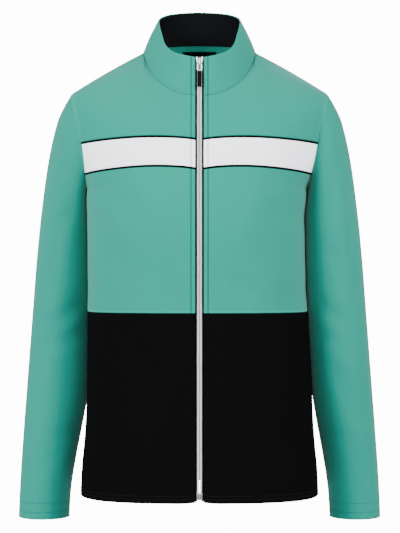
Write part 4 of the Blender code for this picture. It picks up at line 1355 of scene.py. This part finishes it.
@dataclass
class Garment:
    """All the cut cloth of the jacket."""

    surfaces: dict[str, Surface]
    seam: float = 0.00012
    piping_gap: float = 0.0017
    piping_sewn: float = 0.6
    turned_edge: float = 0.0005
    facing_rows: tuple[float, float] = (0.010, 3.955)
    facing_start: float = 0.62
    facing_thickness: float = 0.0012
    facing_gap: float = 0.0006
    label_half_width: float = 0.0250
    label_top: float = 0.0095
    label_height: float = 0.0200
    label_thickness: float = 0.0008
    label_gap: float = 0.0003

    def fronts(self, side: Side) -> list[Piece]:
        """The four panels of one front.

        Args:
            side: the wearer's side.

        Returns:
            The panels, from the hem up.
        """
        surface = self.surfaces["front_" + side.value]
        left = side is Side.LEFT

        def edges(bottom: float, top: float, seam: float, zip_edge: float = 0.0) -> Edges:
            """Amounts for a panel's edges, its armhole or side seam first."""
            return Edges(bottom, top, zip_edge, seam) if left else Edges(bottom, top, seam, zip_edge)

        gap, draw, sewn = self.seam, self.piping_gap, self.piping_sewn
        spans = (
            ("front_lower_", BLACK, 0, WAIST_ROW, (0, 1), (0, gap)),
            ("front_middle_", TEAL, WAIST_ROW, LOW_PIPING_ROW, (1, sewn), (gap, draw)),
            ("chest_band_", WHITE, LOW_PIPING_ROW, HIGH_PIPING_ROW, (sewn, sewn), (draw, draw)),
            ("front_yoke_", TEAL, HIGH_PIPING_ROW, TOP_ROW, (sewn, 1), (draw, gap)),
        )
        return [
            Piece(
                part + side.value, finish, surface, low, high, 0, surface.last_column, edges(*held, 1),
                # the last edges are those beside which a highlight is painted: the waist seam and the yoke's
                # armhole
                edges(*drawn, gap, self.turned_edge), edges(held[0] == 1, 0, part == "front_yoke_"),
            )
            for part, finish, low, high, held, drawn in spans
        ]

    def pieces(self) -> list[Piece]:
        """Every cut piece.

        Returns:
            The pieces, in the order in which they are made.
        """
        gap, turned = self.seam, self.turned_edge
        back, collar = self.surfaces["back"], self.surfaces["collar"]
        last, round_neck = back.last_column, collar.last_column
        cut = [piece for side in Side for piece in self.fronts(side)]
        # the third marks the armhole, beside which a highlight is painted
        at_armhole = (Edges(0, 1), Edges(0, gap), Edges(0, 1))
        for name in ("sleeve_left", "sleeve_right"):
            surface = self.surfaces[name]
            cut.append(Piece(name, TEAL, surface, 0, surface.last_row, 0, 0, *at_armhole))
        for name, finish, low, high, below in (
            ("back_lower", BLACK, 0, WAIST_ROW, 0),
            ("back_upper", TEAL, WAIST_ROW, TOP_ROW, 1),
        ):
            sewn, drawn = Edges(below, 1, 1, 1), Edges(below * gap, gap, gap, gap)
            cut.append(Piece(name, finish, back, low, high, 0, last, sewn, drawn))
        drawn = Edges(gap, 0.0, turned, turned)
        cut.append(Piece("collar", TEAL, collar, 0, collar.last_row, 0, round_neck, Edges(1), drawn))
        span = (*self.facing_rows, self.facing_start, round_neck - self.facing_start)
        depth, thickness = WALL + self.facing_gap, self.facing_thickness
        cut.append(Piece("collar_facing", FACING, collar, *span, depth=depth, thickness=thickness))
        middle_z, seam_x = back.grid[:, last // 2, 2], back.grid[-1, :, 0]
        levels = (self.label_top - self.label_height, self.label_top)
        sides = (-self.label_half_width, self.label_half_width)
        rows = np.interp(levels, middle_z, np.arange(len(middle_z)))
        columns = np.interp(sides, -seam_x, np.arange(last + 1))
        span = map(float, (*rows, *columns))
        depth, thickness = WALL + self.label_gap, self.label_thickness
        cut.append(Piece("neck_label", LABEL, back, *span, depth=depth, thickness=thickness))
        return cut

    def build(self) -> None:
        """Makes every piece."""
        seams = Seams(self.surfaces)
        for piece in self.pieces():
            piece.build(seams)


# ---- small hard pieces -------------------------------------------------
END_COSINE = 0.9                      # a face that looks this nearly along a block's end belongs to it


def select_only(*objects: bpy.types.Object) -> None:
    """Selects some objects and nothing else, the first of them active.

    Args:
        *objects: what is selected.
    """
    bpy.ops.object.select_all(action="DESELECT")
    for obj in objects:
        obj.select_set(True)
    bpy.context.view_layer.objects.active = objects[0]


class Block(NamedTuple):
    """A rounded block: its size, its bevel, the end that is narrowed to some shares, and its place."""

    name: str
    size: Size
    bevel: float
    segments: int
    place: Size = (0.0, 0.0, 0.0)
    end: Size | None = None
    shares: Size = (1.0, 1.0, 1.0)

    def build(self) -> bpy.types.Object:
        """The block, its modifier applied.

        Returns:
            The block, its modifier applied.
        """
        bpy.ops.object.select_all(action="DESELECT")
        bpy.ops.mesh.primitive_cube_add(size=1.0, location=(0.0, 0.0, 0.0))
        made = bpy.context.object
        made.name = self.name
        bpy.ops.object.mode_set(mode="EDIT")
        bpy.ops.mesh.select_all(action="SELECT")
        bpy.ops.transform.resize(value=self.size)
        bpy.ops.object.mode_set(mode="OBJECT")
        if self.end:
            for part in (made.data.polygons, made.data.edges, made.data.vertices):
                part.foreach_set("select", [False] * len(part))
            for face in made.data.polygons:
                face.select = face.normal.dot(Vector(self.end)) > END_COSINE
            bpy.ops.object.mode_set(mode="EDIT")
            bpy.ops.transform.resize(value=self.shares)
            bpy.ops.object.mode_set(mode="OBJECT")
        rounded = made.modifiers.new("rounded", "BEVEL")
        rounded.width, rounded.segments, rounded.limit_method = self.bevel, self.segments, "NONE"
        bpy.ops.object.modifier_apply(modifier=rounded.name)
        made.data.shade_smooth()
        made.location = self.place
        return made


def copy_of(template: bpy.types.Object) -> bpy.types.Object:
    """A copy of an object with its own mesh.

    Args:
        template: the object.

    Returns:
        The copy.
    """
    copy = template.copy()
    copy.data = template.data.copy()
    bpy.context.scene.collection.objects.link(copy)
    return copy


def joined(name: str, parts: list[bpy.types.Object], frame: Matrix | None = None) -> bpy.types.Object:
    """Joins objects into one, at the origin and unturned.

    Args:
        name: the new object's name.
        parts: the objects, which are used up.
        frame: where the whole is moved to before its place goes into its mesh.

    Returns:
        The new object.
    """
    bpy.context.view_layer.update()
    select_only(*parts)
    if len(parts) > 1:
        bpy.ops.object.join()
    bpy.ops.object.transform_apply(location=True, rotation=True, scale=True)
    made = bpy.context.object
    made.name = name
    if frame is not None:
        made.matrix_world = frame
        return joined(name, [made])
    return made


def repeated(name: str, template: bpy.types.Object, frames: list[Matrix]) -> bpy.types.Object:
    """Copies a template to every frame and joins the copies.

    Args:
        name: the new object's name.
        template: the object that is copied, which is used up.
        frames: where the copies go.

    Returns:
        All copies as one object.
    """
    copies = []
    for frame in frames:
        copies.append(copy_of(template))
        copies[-1].matrix_world = frame
    bpy.data.objects.remove(template)
    return joined(name, copies)


def frame_at(place: Array, along: Array, out: Array) -> Matrix:
    """A frame whose Y runs along and whose Z points out.

    Args:
        place: the frame's origin.
        along: direction of its Y.
        out: the direction that its Z is nearest to.

    Returns:
        The frame.
    """
    y = Vector(along).normalized()
    x = y.cross(Vector(out)).normalized()
    frame = Matrix((x, y, x.cross(y))).transposed().to_4x4()
    frame.translation = Vector(place)
    return frame


def frames_along(points: Array, normals: Array, pitch: float, start: float = 0.0) -> list[Matrix]:
    """Frames spaced a pitch apart along a line.

    Args:
        points: points of the line.
        normals: outward normals there.
        pitch: distance between frames.
        start: distance of the first one from the line's start.

    Returns:
        The frames.
    """
    run = run_of(points)
    at = np.arange(start, run[-1], pitch)
    places, out = read_along(at, run, points), read_along(at, run, normals)
    ways = read_along(at + pitch / 4, run, points) - read_along(at - pitch / 4, run, points)
    return [frame_at(p, a, o) for p, a, o in zip(places, ways, out)]


# ---- sewing ------------------------------------------------------------
@dataclass
class Sewing:
    """Topstitching and piping."""

    surfaces: dict[str, Surface]
    hem_heights: tuple[float, ...] = (0.0100, 0.0052)
    cuff_heights: tuple[float, ...] = (0.0100, 0.0235)
    stitch: Block = Block("stitch", (0.0006, 0.0024, 0.0004), 0.00014, 2)
    stitch_rise: float = 0.00005
    pitch: float = 0.0031
    row_samples: int = 12
    collar_samples: int = 30
    beside_samples: int = 9
    column_steps: int = 6
    level_samples: int = 13
    level_rows: float = 1.2
    piping_half_width: float = 0.0015
    piping_rise: float = 0.0012
    piping_sink: float = 0.0003
    piping_sides: int = 8
    piping_steps: int = 5
    piping_reach: float = 0.05

    def upright(self, surface: Surface, rows: Array, near_start: bool) -> Line:
        """Line beside the zip at some rows of a front or the collar, near its first column or its last.

        Args:
            surface: the front or the collar.
            rows: the rows that the line passes.
            near_start: whether the zip is at the first column.

        Returns:
            The line.
        """
        last = surface.last_column
        start = 0.0 if near_start else last - 1.0
        columns = np.linspace(start, start + 1.0, self.beside_samples)
        points, normals = surface.skin(rows, columns)
        if not near_start:
            points, normals = points[:, ::-1], normals[:, ::-1]
        return self.at_key(points, normals, np.abs(points[..., 0]), ZIP_STITCH_X)

    @staticmethod
    def at_key(points: Array, normals: Array, keys: Array, target: float) -> Line:
        """For each row of points, the point and normal where the key, rising along the row, has a value.

        Args:
            points: rows of points.
            normals: their normals.
            keys: a number for each point.
            target: the number to find.

        Returns:
            The points found and their normals.
        """
        found = [
            [read_along([target], key, part)[0] for part in (row, out)]
            for row, out, key in zip(points, normals, keys)
        ]
        both = np.array(found)
        return both[:, 0], unit(both[:, 1])

    def levels(self, surface: Surface, heights: tuple[float, ...]) -> list[Line]:
        """Lines some heights above a bottom edge.

        Args:
            surface: the surface, hem or cuff down.
            heights: the lines' heights.

        Returns:
            A line for each height.
        """
        count = surface.last_column + 1
        columns = np.linspace(0.0, count if surface.closed else count - 1, count * self.column_steps + 1)
        if surface.closed:
            columns = columns[:-1]
        points, normals = surface.skin(np.linspace(0.0, self.level_rows, self.level_samples), columns)
        keys = run_of(points).T
        points, normals = points.transpose(1, 0, 2), normals.transpose(1, 0, 2)
        return [self.at_key(points, normals, keys, height) for height in heights]

    def line(self, name: str, lines: list[Line], finish: Finish) -> None:
        """Rows of stitches along lines.

        Args:
            name: the piece's name.
            lines: where the rows run.
            finish: the thread's finish.
        """
        frames = []
        for points, normals in lines:
            frames += frames_along(points + normals * self.stitch_rise, normals, self.pitch, self.pitch / 2)
        settle(repeated(name, self.stitch.build(), frames), finish)

    def topstitch(self) -> None:
        """All topstitching, in thread of the colour of the cloth that it is on; the teal threads are darker
        than the cloth, with the shade of the stitch lines painted into them.
        """
        teal, cuffs, black, white = [], [], [], []
        spans = (
            (black, 0.04, WAIST_ROW - 0.03),
            (teal, WAIST_ROW + 0.03, LOW_PIPING_ROW - 0.1),
            (white, LOW_PIPING_ROW + 0.12, HIGH_PIPING_ROW - 0.12),
            (teal, HIGH_PIPING_ROW + 0.1, TOP_ROW - 0.1),
        )
        for side in Side:
            front, left = self.surfaces["front_" + side.value], side is Side.LEFT
            for lines, low, high in spans:
                rows = np.linspace(low, high, int((high - low) * self.row_samples) + 2)
                lines.append(self.upright(front, rows, left))
            rows = np.linspace(0.0, COLLAR_ROWS, self.collar_samples)
            teal.append(self.upright(self.surfaces["collar"], rows, left))
            black += self.levels(front, self.hem_heights)
            cuffs += self.levels(self.surfaces["sleeve_" + side.value], self.cuff_heights)
        black += self.levels(self.surfaces["back"], self.hem_heights)
        self.line("stitches_teal", teal, SHADED_TEAL_THREAD)
        self.line("stitches_cuffs", cuffs, SHADED_CUFF_THREAD)
        self.line("stitches_black", black, BLACK_THREAD)
        self.line("stitches_white", white, WHITE_THREAD)

    def cord(self, surface: Surface, row: float) -> tuple[Array, list[Face]]:
        """A raised cord along a row of a front, closed at its ends.

        Args:
            surface: the front.
            row: the row that it lies on.

        Returns:
            Its points, a ring after another round its section, and its faces.
        """
        last = surface.last_column
        columns = np.linspace(0.0, last, last * self.piping_steps + 1)
        beside = self.piping_reach
        points, normals = surface.skin(np.array([row - beside, row, row + beside]), columns)
        line, out = points[1], normals[1]
        aside = unit(points[2] - points[0]) * self.piping_half_width
        rings = [line - aside - out * WALL]
        for turn in np.radians(np.linspace(0.0, 180.0, self.piping_sides + 1)):
            rise = self.piping_rise * math.sin(turn) - self.piping_sink
            rings.append(line - aside * math.cos(turn) + out * rise)
        rings.append(line + aside - out * WALL)
        grid = np.stack(rings)
        count, length = grid.shape[:2]
        faces = [
            (a * length + c, a * length + c + 1, b * length + c + 1, b * length + c)
            for a, b in zip(range(count), [*range(1, count), 0])
            for c in range(length - 1)
        ]
        faces.append(tuple(a * length for a in range(count)))
        faces.append(tuple(a * length + length - 1 for a in reversed(range(count))))
        return grid, faces

    def piping(self) -> None:
        """The four pipings, raised cords along the band's edges."""
        for side in Side:
            for part, row in (("piping_low_", LOW_PIPING_ROW), ("piping_high_", HIGH_PIPING_ROW)):
                name = part + side.value
                made = add_mesh(name, *self.cord(self.surfaces["front_" + side.value], row))
                settle(made, PIPING, node=name)


# ---- zip ---------------------------------------------------------------
@dataclass
class ZipFastener:
    """Tapes, teeth, bottom box, slider and pull."""

    surfaces: dict[str, Surface]
    pin: Size = (0.0, -0.080485, -0.026574)
    slider_levels: tuple[float, float] = (-0.0390, -0.0150)
    slider_out: Size = (0.0, -1.0, 0.3)
    row_steps: int = 6
    next_share: float = 0.1
    tape_inner_x: float = 0.0030
    tape_columns: float = 0.56
    tape_samples: int = 4
    tape_thickness: float = 0.0009
    tape_depth: float = WALL + 0.0004
    tape_end: float = 0.0012
    tooth_size: Size = (0.0031, 0.00116, 0.0024)
    tooth_bevel: float = 0.00018
    tooth_head: Size = (1.0, 0.80, 0.80)
    tooth_middle_x: float = 0.00185
    tooth_front: float = -0.0006
    pitch: float = 0.00135
    stop_bottom: float = -0.6450
    stop_height: float = 0.0100
    stop_depth: float = 0.0013
    stop_parts: tuple[Block, ...] = (
        Block("box", (0.0083, stop_height, 0.0030), 0.0006, 3),
        Block("groove", (0.0012, stop_height * 0.55, 0.0006), 0.0002, 2, (0.0, -0.0004, 0.0015)),
    )
    chain_top: float = -0.0292
    plate: Block = Block(
        "plate", (0.0078, 0.0060, 0.0012), 0.0005, 3, (0.0, 0.0008, -0.0032), DOWN, (0.90, 1.0, 1.0)
    )
    wing: Block = Block(
        "wing", (0.0030, 0.0112, 0.0028), 0.0011, 4, (0.0035, 0.0060, -0.0020), DOWN, (0.72, 1.0, 0.75)
    )
    wing_turn: float = math.radians(7.0)
    inner_parts: tuple[Block, ...] = (
        Block("rear", (0.0100, 0.0138, 0.0011), 0.0004, 2, (0.0, 0.0049, -0.0066), DOWN, (0.69, 1.0, 1.0)),
        Block("web", (0.0026, 0.0060, 0.0044), 0.0004, 1, (0.0, 0.0082, -0.0042)),
        Block("arch", (0.0021, 0.0084, 0.0032), 0.0009, 3, (0.0, 0.0025, 0.0), OUT, (0.9, 0.75, 1.0)),
    )
    link_half_width: float = 0.0031
    link_drop: float = 0.0098
    link_wire: float = 0.00068
    link_corner: float = 0.0011
    link_steps: int = 5
    link_roundness: int = 3
    pull_lean: float = math.radians(2.0)
    tab: Block = Block("tab", (0.0063, 0.0230, 0.0018), 0.0006, 3, (0.0, -0.0098 - 0.00085 - 0.0115, 0.0))

    def side_line(self, side: Side, share: float = 0.0) -> Line:
        """Line up one front and the collar, a share of a column from the zip edge.

        Args:
            side: the wearer's side.
            share: the share of a column.

        Returns:
            The line.
        """
        found = []
        pick = 0 if side is Side.LEFT else 1
        for name, start in (("front_" + side.value, 0), ("collar", 1)):
            surface = self.surfaces[name]
            inner = np.array([share, share + self.next_share])
            columns = inner if side is Side.LEFT else (surface.last_column - inner)[::-1]
            rows = np.linspace(0.0, surface.last_row, surface.last_row * self.row_steps + 1)
            found.append([part[start:, pick] for part in surface.skin(rows, columns)])
        return tuple(np.concatenate(parts) for parts in zip(*found))

    def middle(self, low: float, high: float) -> Line:
        """The line down the middle of the zip between two levels, and its outward normals.

        Args:
            low: level of its start.
            high: level of its end.

        Returns:
            The line.
        """
        points, normals = self.side_line(Side.LEFT)
        points, normals = points * UPRIGHT, unit(normals * UPRIGHT)
        inside = points[(points[:, 2] > low) & (points[:, 2] < high), 2]
        levels = np.concatenate([[low], inside, [high]])
        return read_along(levels, points[:, 2], points), unit(read_along(levels, points[:, 2], normals))

    def tape(self, side: Side) -> None:
        """Half of the woven tape, behind the edge of a front and of the collar.

        Args:
            side: the wearer's side.
        """
        lines, outs = [], []
        edge, edge_out = self.side_line(side)
        for x in (self.tape_inner_x, (self.tape_inner_x + ZIP_EDGE_X) / 2):
            inner = edge.copy()
            inner[:, 0] = side.sign * x
            lines.append(inner)
            outs.append(unit(edge_out * UPRIGHT))
        for share in np.linspace(0.0, self.tape_columns, self.tape_samples):
            points, out = self.side_line(side, float(share))
            lines.append(points)
            outs.append(out)
        order = slice(None) if side is Side.LEFT else slice(None, None, -1)
        points, normals = np.stack(lines, axis=1)[:, order], np.stack(outs, axis=1)[:, order]
        up_way = unit(np.gradient(points, axis=0))
        points[0] += up_way[0] * self.tape_end
        points[-1] -= up_way[-1] * self.tape_end
        points = points - normals * self.tape_depth
        name = "zip_tape_" + side.value
        piece = Piece(name, TAPE, self.surfaces["collar"], 0, 1, thickness=self.tape_thickness)
        across, up = laid_flat(points)
        made = piece.shell(points, normals, np.stack([across, up], axis=-1), False)
        settle(made, TAPE, node=name)

    def teeth(self) -> None:
        """Both rows of teeth, the heads of one between those of the other."""
        points, normals = self.middle(self.stop_bottom + self.stop_height, self.chain_top)
        points = points + normals * (self.tooth_front - self.tooth_size[2] / 2)
        rows = []
        for side in Side:
            inwards = (-side.sign, 0.0, 0.0)
            tooth = Block("tooth", self.tooth_size, self.tooth_bevel, 1, end=inwards, shares=self.tooth_head)
            start = self.pitch / 4 if side is Side.LEFT else self.pitch * 0.75
            place = points + np.array([side.sign * self.tooth_middle_x, 0.0, 0.0])
            rows.append(repeated("teeth", tooth.build(), frames_along(place, normals, self.pitch, start)))
        settle(joined("zip_chain", rows), METAL, node="zip_chain")

    def stop(self) -> None:
        """The box at the bottom of the zip, with a groove down its face."""
        points, normals = self.middle(self.stop_bottom, self.stop_bottom + self.stop_height)
        out = normals[len(points) // 2]
        frame = frame_at(points.mean(axis=0) - out * self.stop_depth, points[-1] - points[0], out)
        parts = [part.build() for part in self.stop_parts]
        settle(joined("zip_bottom_stop", parts, frame), CAST, node="zip_bottom_stop")

    def slider_frame(self) -> Matrix:
        """The slider's own frame: across, up the zip and out of it, with the pull's pin at its origin."""
        points, _ = self.middle(*self.slider_levels)
        return frame_at(np.array(self.pin), points[-1] - points[0], np.array(self.slider_out))

    def slider(self) -> None:
        """Slider: front and back plates with a web between, rounded wings and an arched bridge."""
        plate, wing = self.plate.build(), self.wing.build()
        wings = []
        for sign in (-1.0, 1.0):
            wings.append(copy_of(wing))
            wings[-1].location.x = sign * self.wing.place[0]
            wings[-1].rotation_euler.z = -sign * self.wing_turn
        bpy.data.objects.remove(wing)
        parts = [plate, *wings, *(part.build() for part in self.inner_parts)]
        settle(joined("zip_slider", parts, self.slider_frame()), CAST, node="zip_slider")

    def link_outline(self) -> list[tuple[float, float]]:
        """Corners of the link's wire, each on an arc, round from the upper right.

        Returns:
            The places across and up, in the slider's frame.
        """
        outline = []
        for x, y, start in ((1, 0, 0.0), (-1, 0, 90.0), (-1, -1, 180.0), (1, -1, 270.0)):
            across = x * (self.link_half_width - self.link_corner)
            up = -self.link_corner if y == 0 else self.link_corner - self.link_drop
            for k in range(self.link_steps + 1):
                turn, corner = math.radians(start + 90.0 * k / self.link_steps), self.link_corner
                outline.append((across + corner * math.cos(turn), up + corner * math.sin(turn)))
        return outline

    def pull(self) -> None:
        """A wire link through the bridge and a rubber tab on it."""
        curve = bpy.data.curves.new("link", "CURVE")
        curve.dimensions = "3D"
        curve.bevel_depth, curve.bevel_resolution = self.link_wire, self.link_roundness
        spline = curve.splines.new("POLY")
        outline = self.link_outline()
        spline.points.add(len(outline) - 1)
        for point, (x, y) in zip(spline.points, outline):
            point.co = (x, y, 0.0, 1.0)
        spline.use_cyclic_u = True
        select_only(new_object("link", curve))
        bpy.ops.object.convert(target="MESH")
        link = bpy.context.object
        link.data.shade_smooth()
        frame = self.slider_frame() @ Matrix.Rotation(self.pull_lean, 4, "X")
        settle(joined("zip_pull_link", [link], frame), CAST, "pull", "zip_pull_link")
        settle(joined("zip_pull_tab", [self.tab.build()], frame), RUBBER, "pull", "zip_pull_tab")

    def build(self) -> None:
        """Makes the whole zip."""
        for side in Side:
            self.tape(side)
        self.teeth()
        self.stop()
        self.slider()
        self.pull()


# ---- studio ------------------------------------------------------------
@dataclass(frozen=True)
class Light:
    """A soft square lamp that looks at a point."""

    place: Size
    power: float
    size: float
    target: Size = (0.0, 0.0, -0.33)


@dataclass
class Studio:
    """Plain pale room, soft light and the camera."""

    camera: Size = (0.0007, -2.4, -0.3167)
    lens: float = 109.5
    sensor: float = 36.0
    floor_z: float = -2.60
    floor_size: float = 9.0
    floor_grey: float = 0.9
    floor_roughness: float = 0.9
    white: Size = (1.0, 1.0, 1.0)
    sky_light: float = 0.50
    sky_seen: float = 14.0
    lights: tuple[Light, ...] = (
        Light((-2.3, -1.9, 0.9), 200.0, 1.3),
        Light((2.3, -1.9, 0.9), 160.0, 1.3),
        Light((0.0, -3.2, 1.0), 60.0, 1.0),
        Light((0.6, 3.2, 1.4), 170.0, 1.4),
    )

    def floor(self) -> None:
        """The plain pale floor."""
        bpy.ops.mesh.primitive_plane_add(size=self.floor_size, location=(0.0, 0.0, self.floor_z))
        made = bpy.context.object
        made.name = "floor"
        paint = bpy.data.materials.new("floor")
        paint.use_nodes = True
        grey = {"Base Color": (*[self.floor_grey] * 3, 1.0), "Roughness": self.floor_roughness}
        fill(paint.node_tree, paint.node_tree.nodes["Principled BSDF"], grey)
        made.data.materials.append(paint)

    def sky(self) -> None:
        """A world that is white to the eye and lights only softly."""
        world = bpy.data.worlds.new("sky")
        world.use_nodes = True
        tree = world.node_tree
        seen = add_node(tree, "LightPath").outputs["Is Camera Ray"]
        reach = {"To Min": self.sky_light, "To Max": self.sky_seen, "Value": seen}
        strength = add_node(tree, "MapRange", reach)
        sky = {"Color": (*self.white, 1.0), "Strength": strength.outputs["Result"]}
        fill(tree, tree.nodes["Background"], sky)
        bpy.context.scene.world = world

    def build(self) -> None:
        """Sets up the room, the lamps and the camera."""
        self.floor()
        self.sky()
        for number, light in enumerate(self.lights):
            data = bpy.data.lights.new(f"lamp_{number}", "AREA")
            data.energy, data.size = light.power, light.size
            made = new_object(f"lamp_{number}", data)
            made.location = light.place
            aim = Vector(light.target) - Vector(light.place)
            made.rotation_euler = aim.to_track_quat("-Z", "Y").to_euler()
        data = bpy.data.cameras.new("camera")
        data.lens, data.sensor_width = self.lens, self.sensor
        camera = new_object("camera", data)
        camera.location = self.camera
        camera.rotation_euler = (math.radians(90.0), 0.0, 0.0)
        bpy.context.scene.camera = camera


def main() -> None:
    """Builds the jacket's looks over its frame."""
    logging.basicConfig(level=logging.INFO, format="%(message)s")
    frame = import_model()
    surfaces = JacketDraft().surfaces()
    Garment(surfaces).build()
    sewing = Sewing(surfaces)
    sewing.topstitch()
    sewing.piping()
    ZipFastener(surfaces).build()
    Studio().build()


if __name__ == "__main__":
    main()
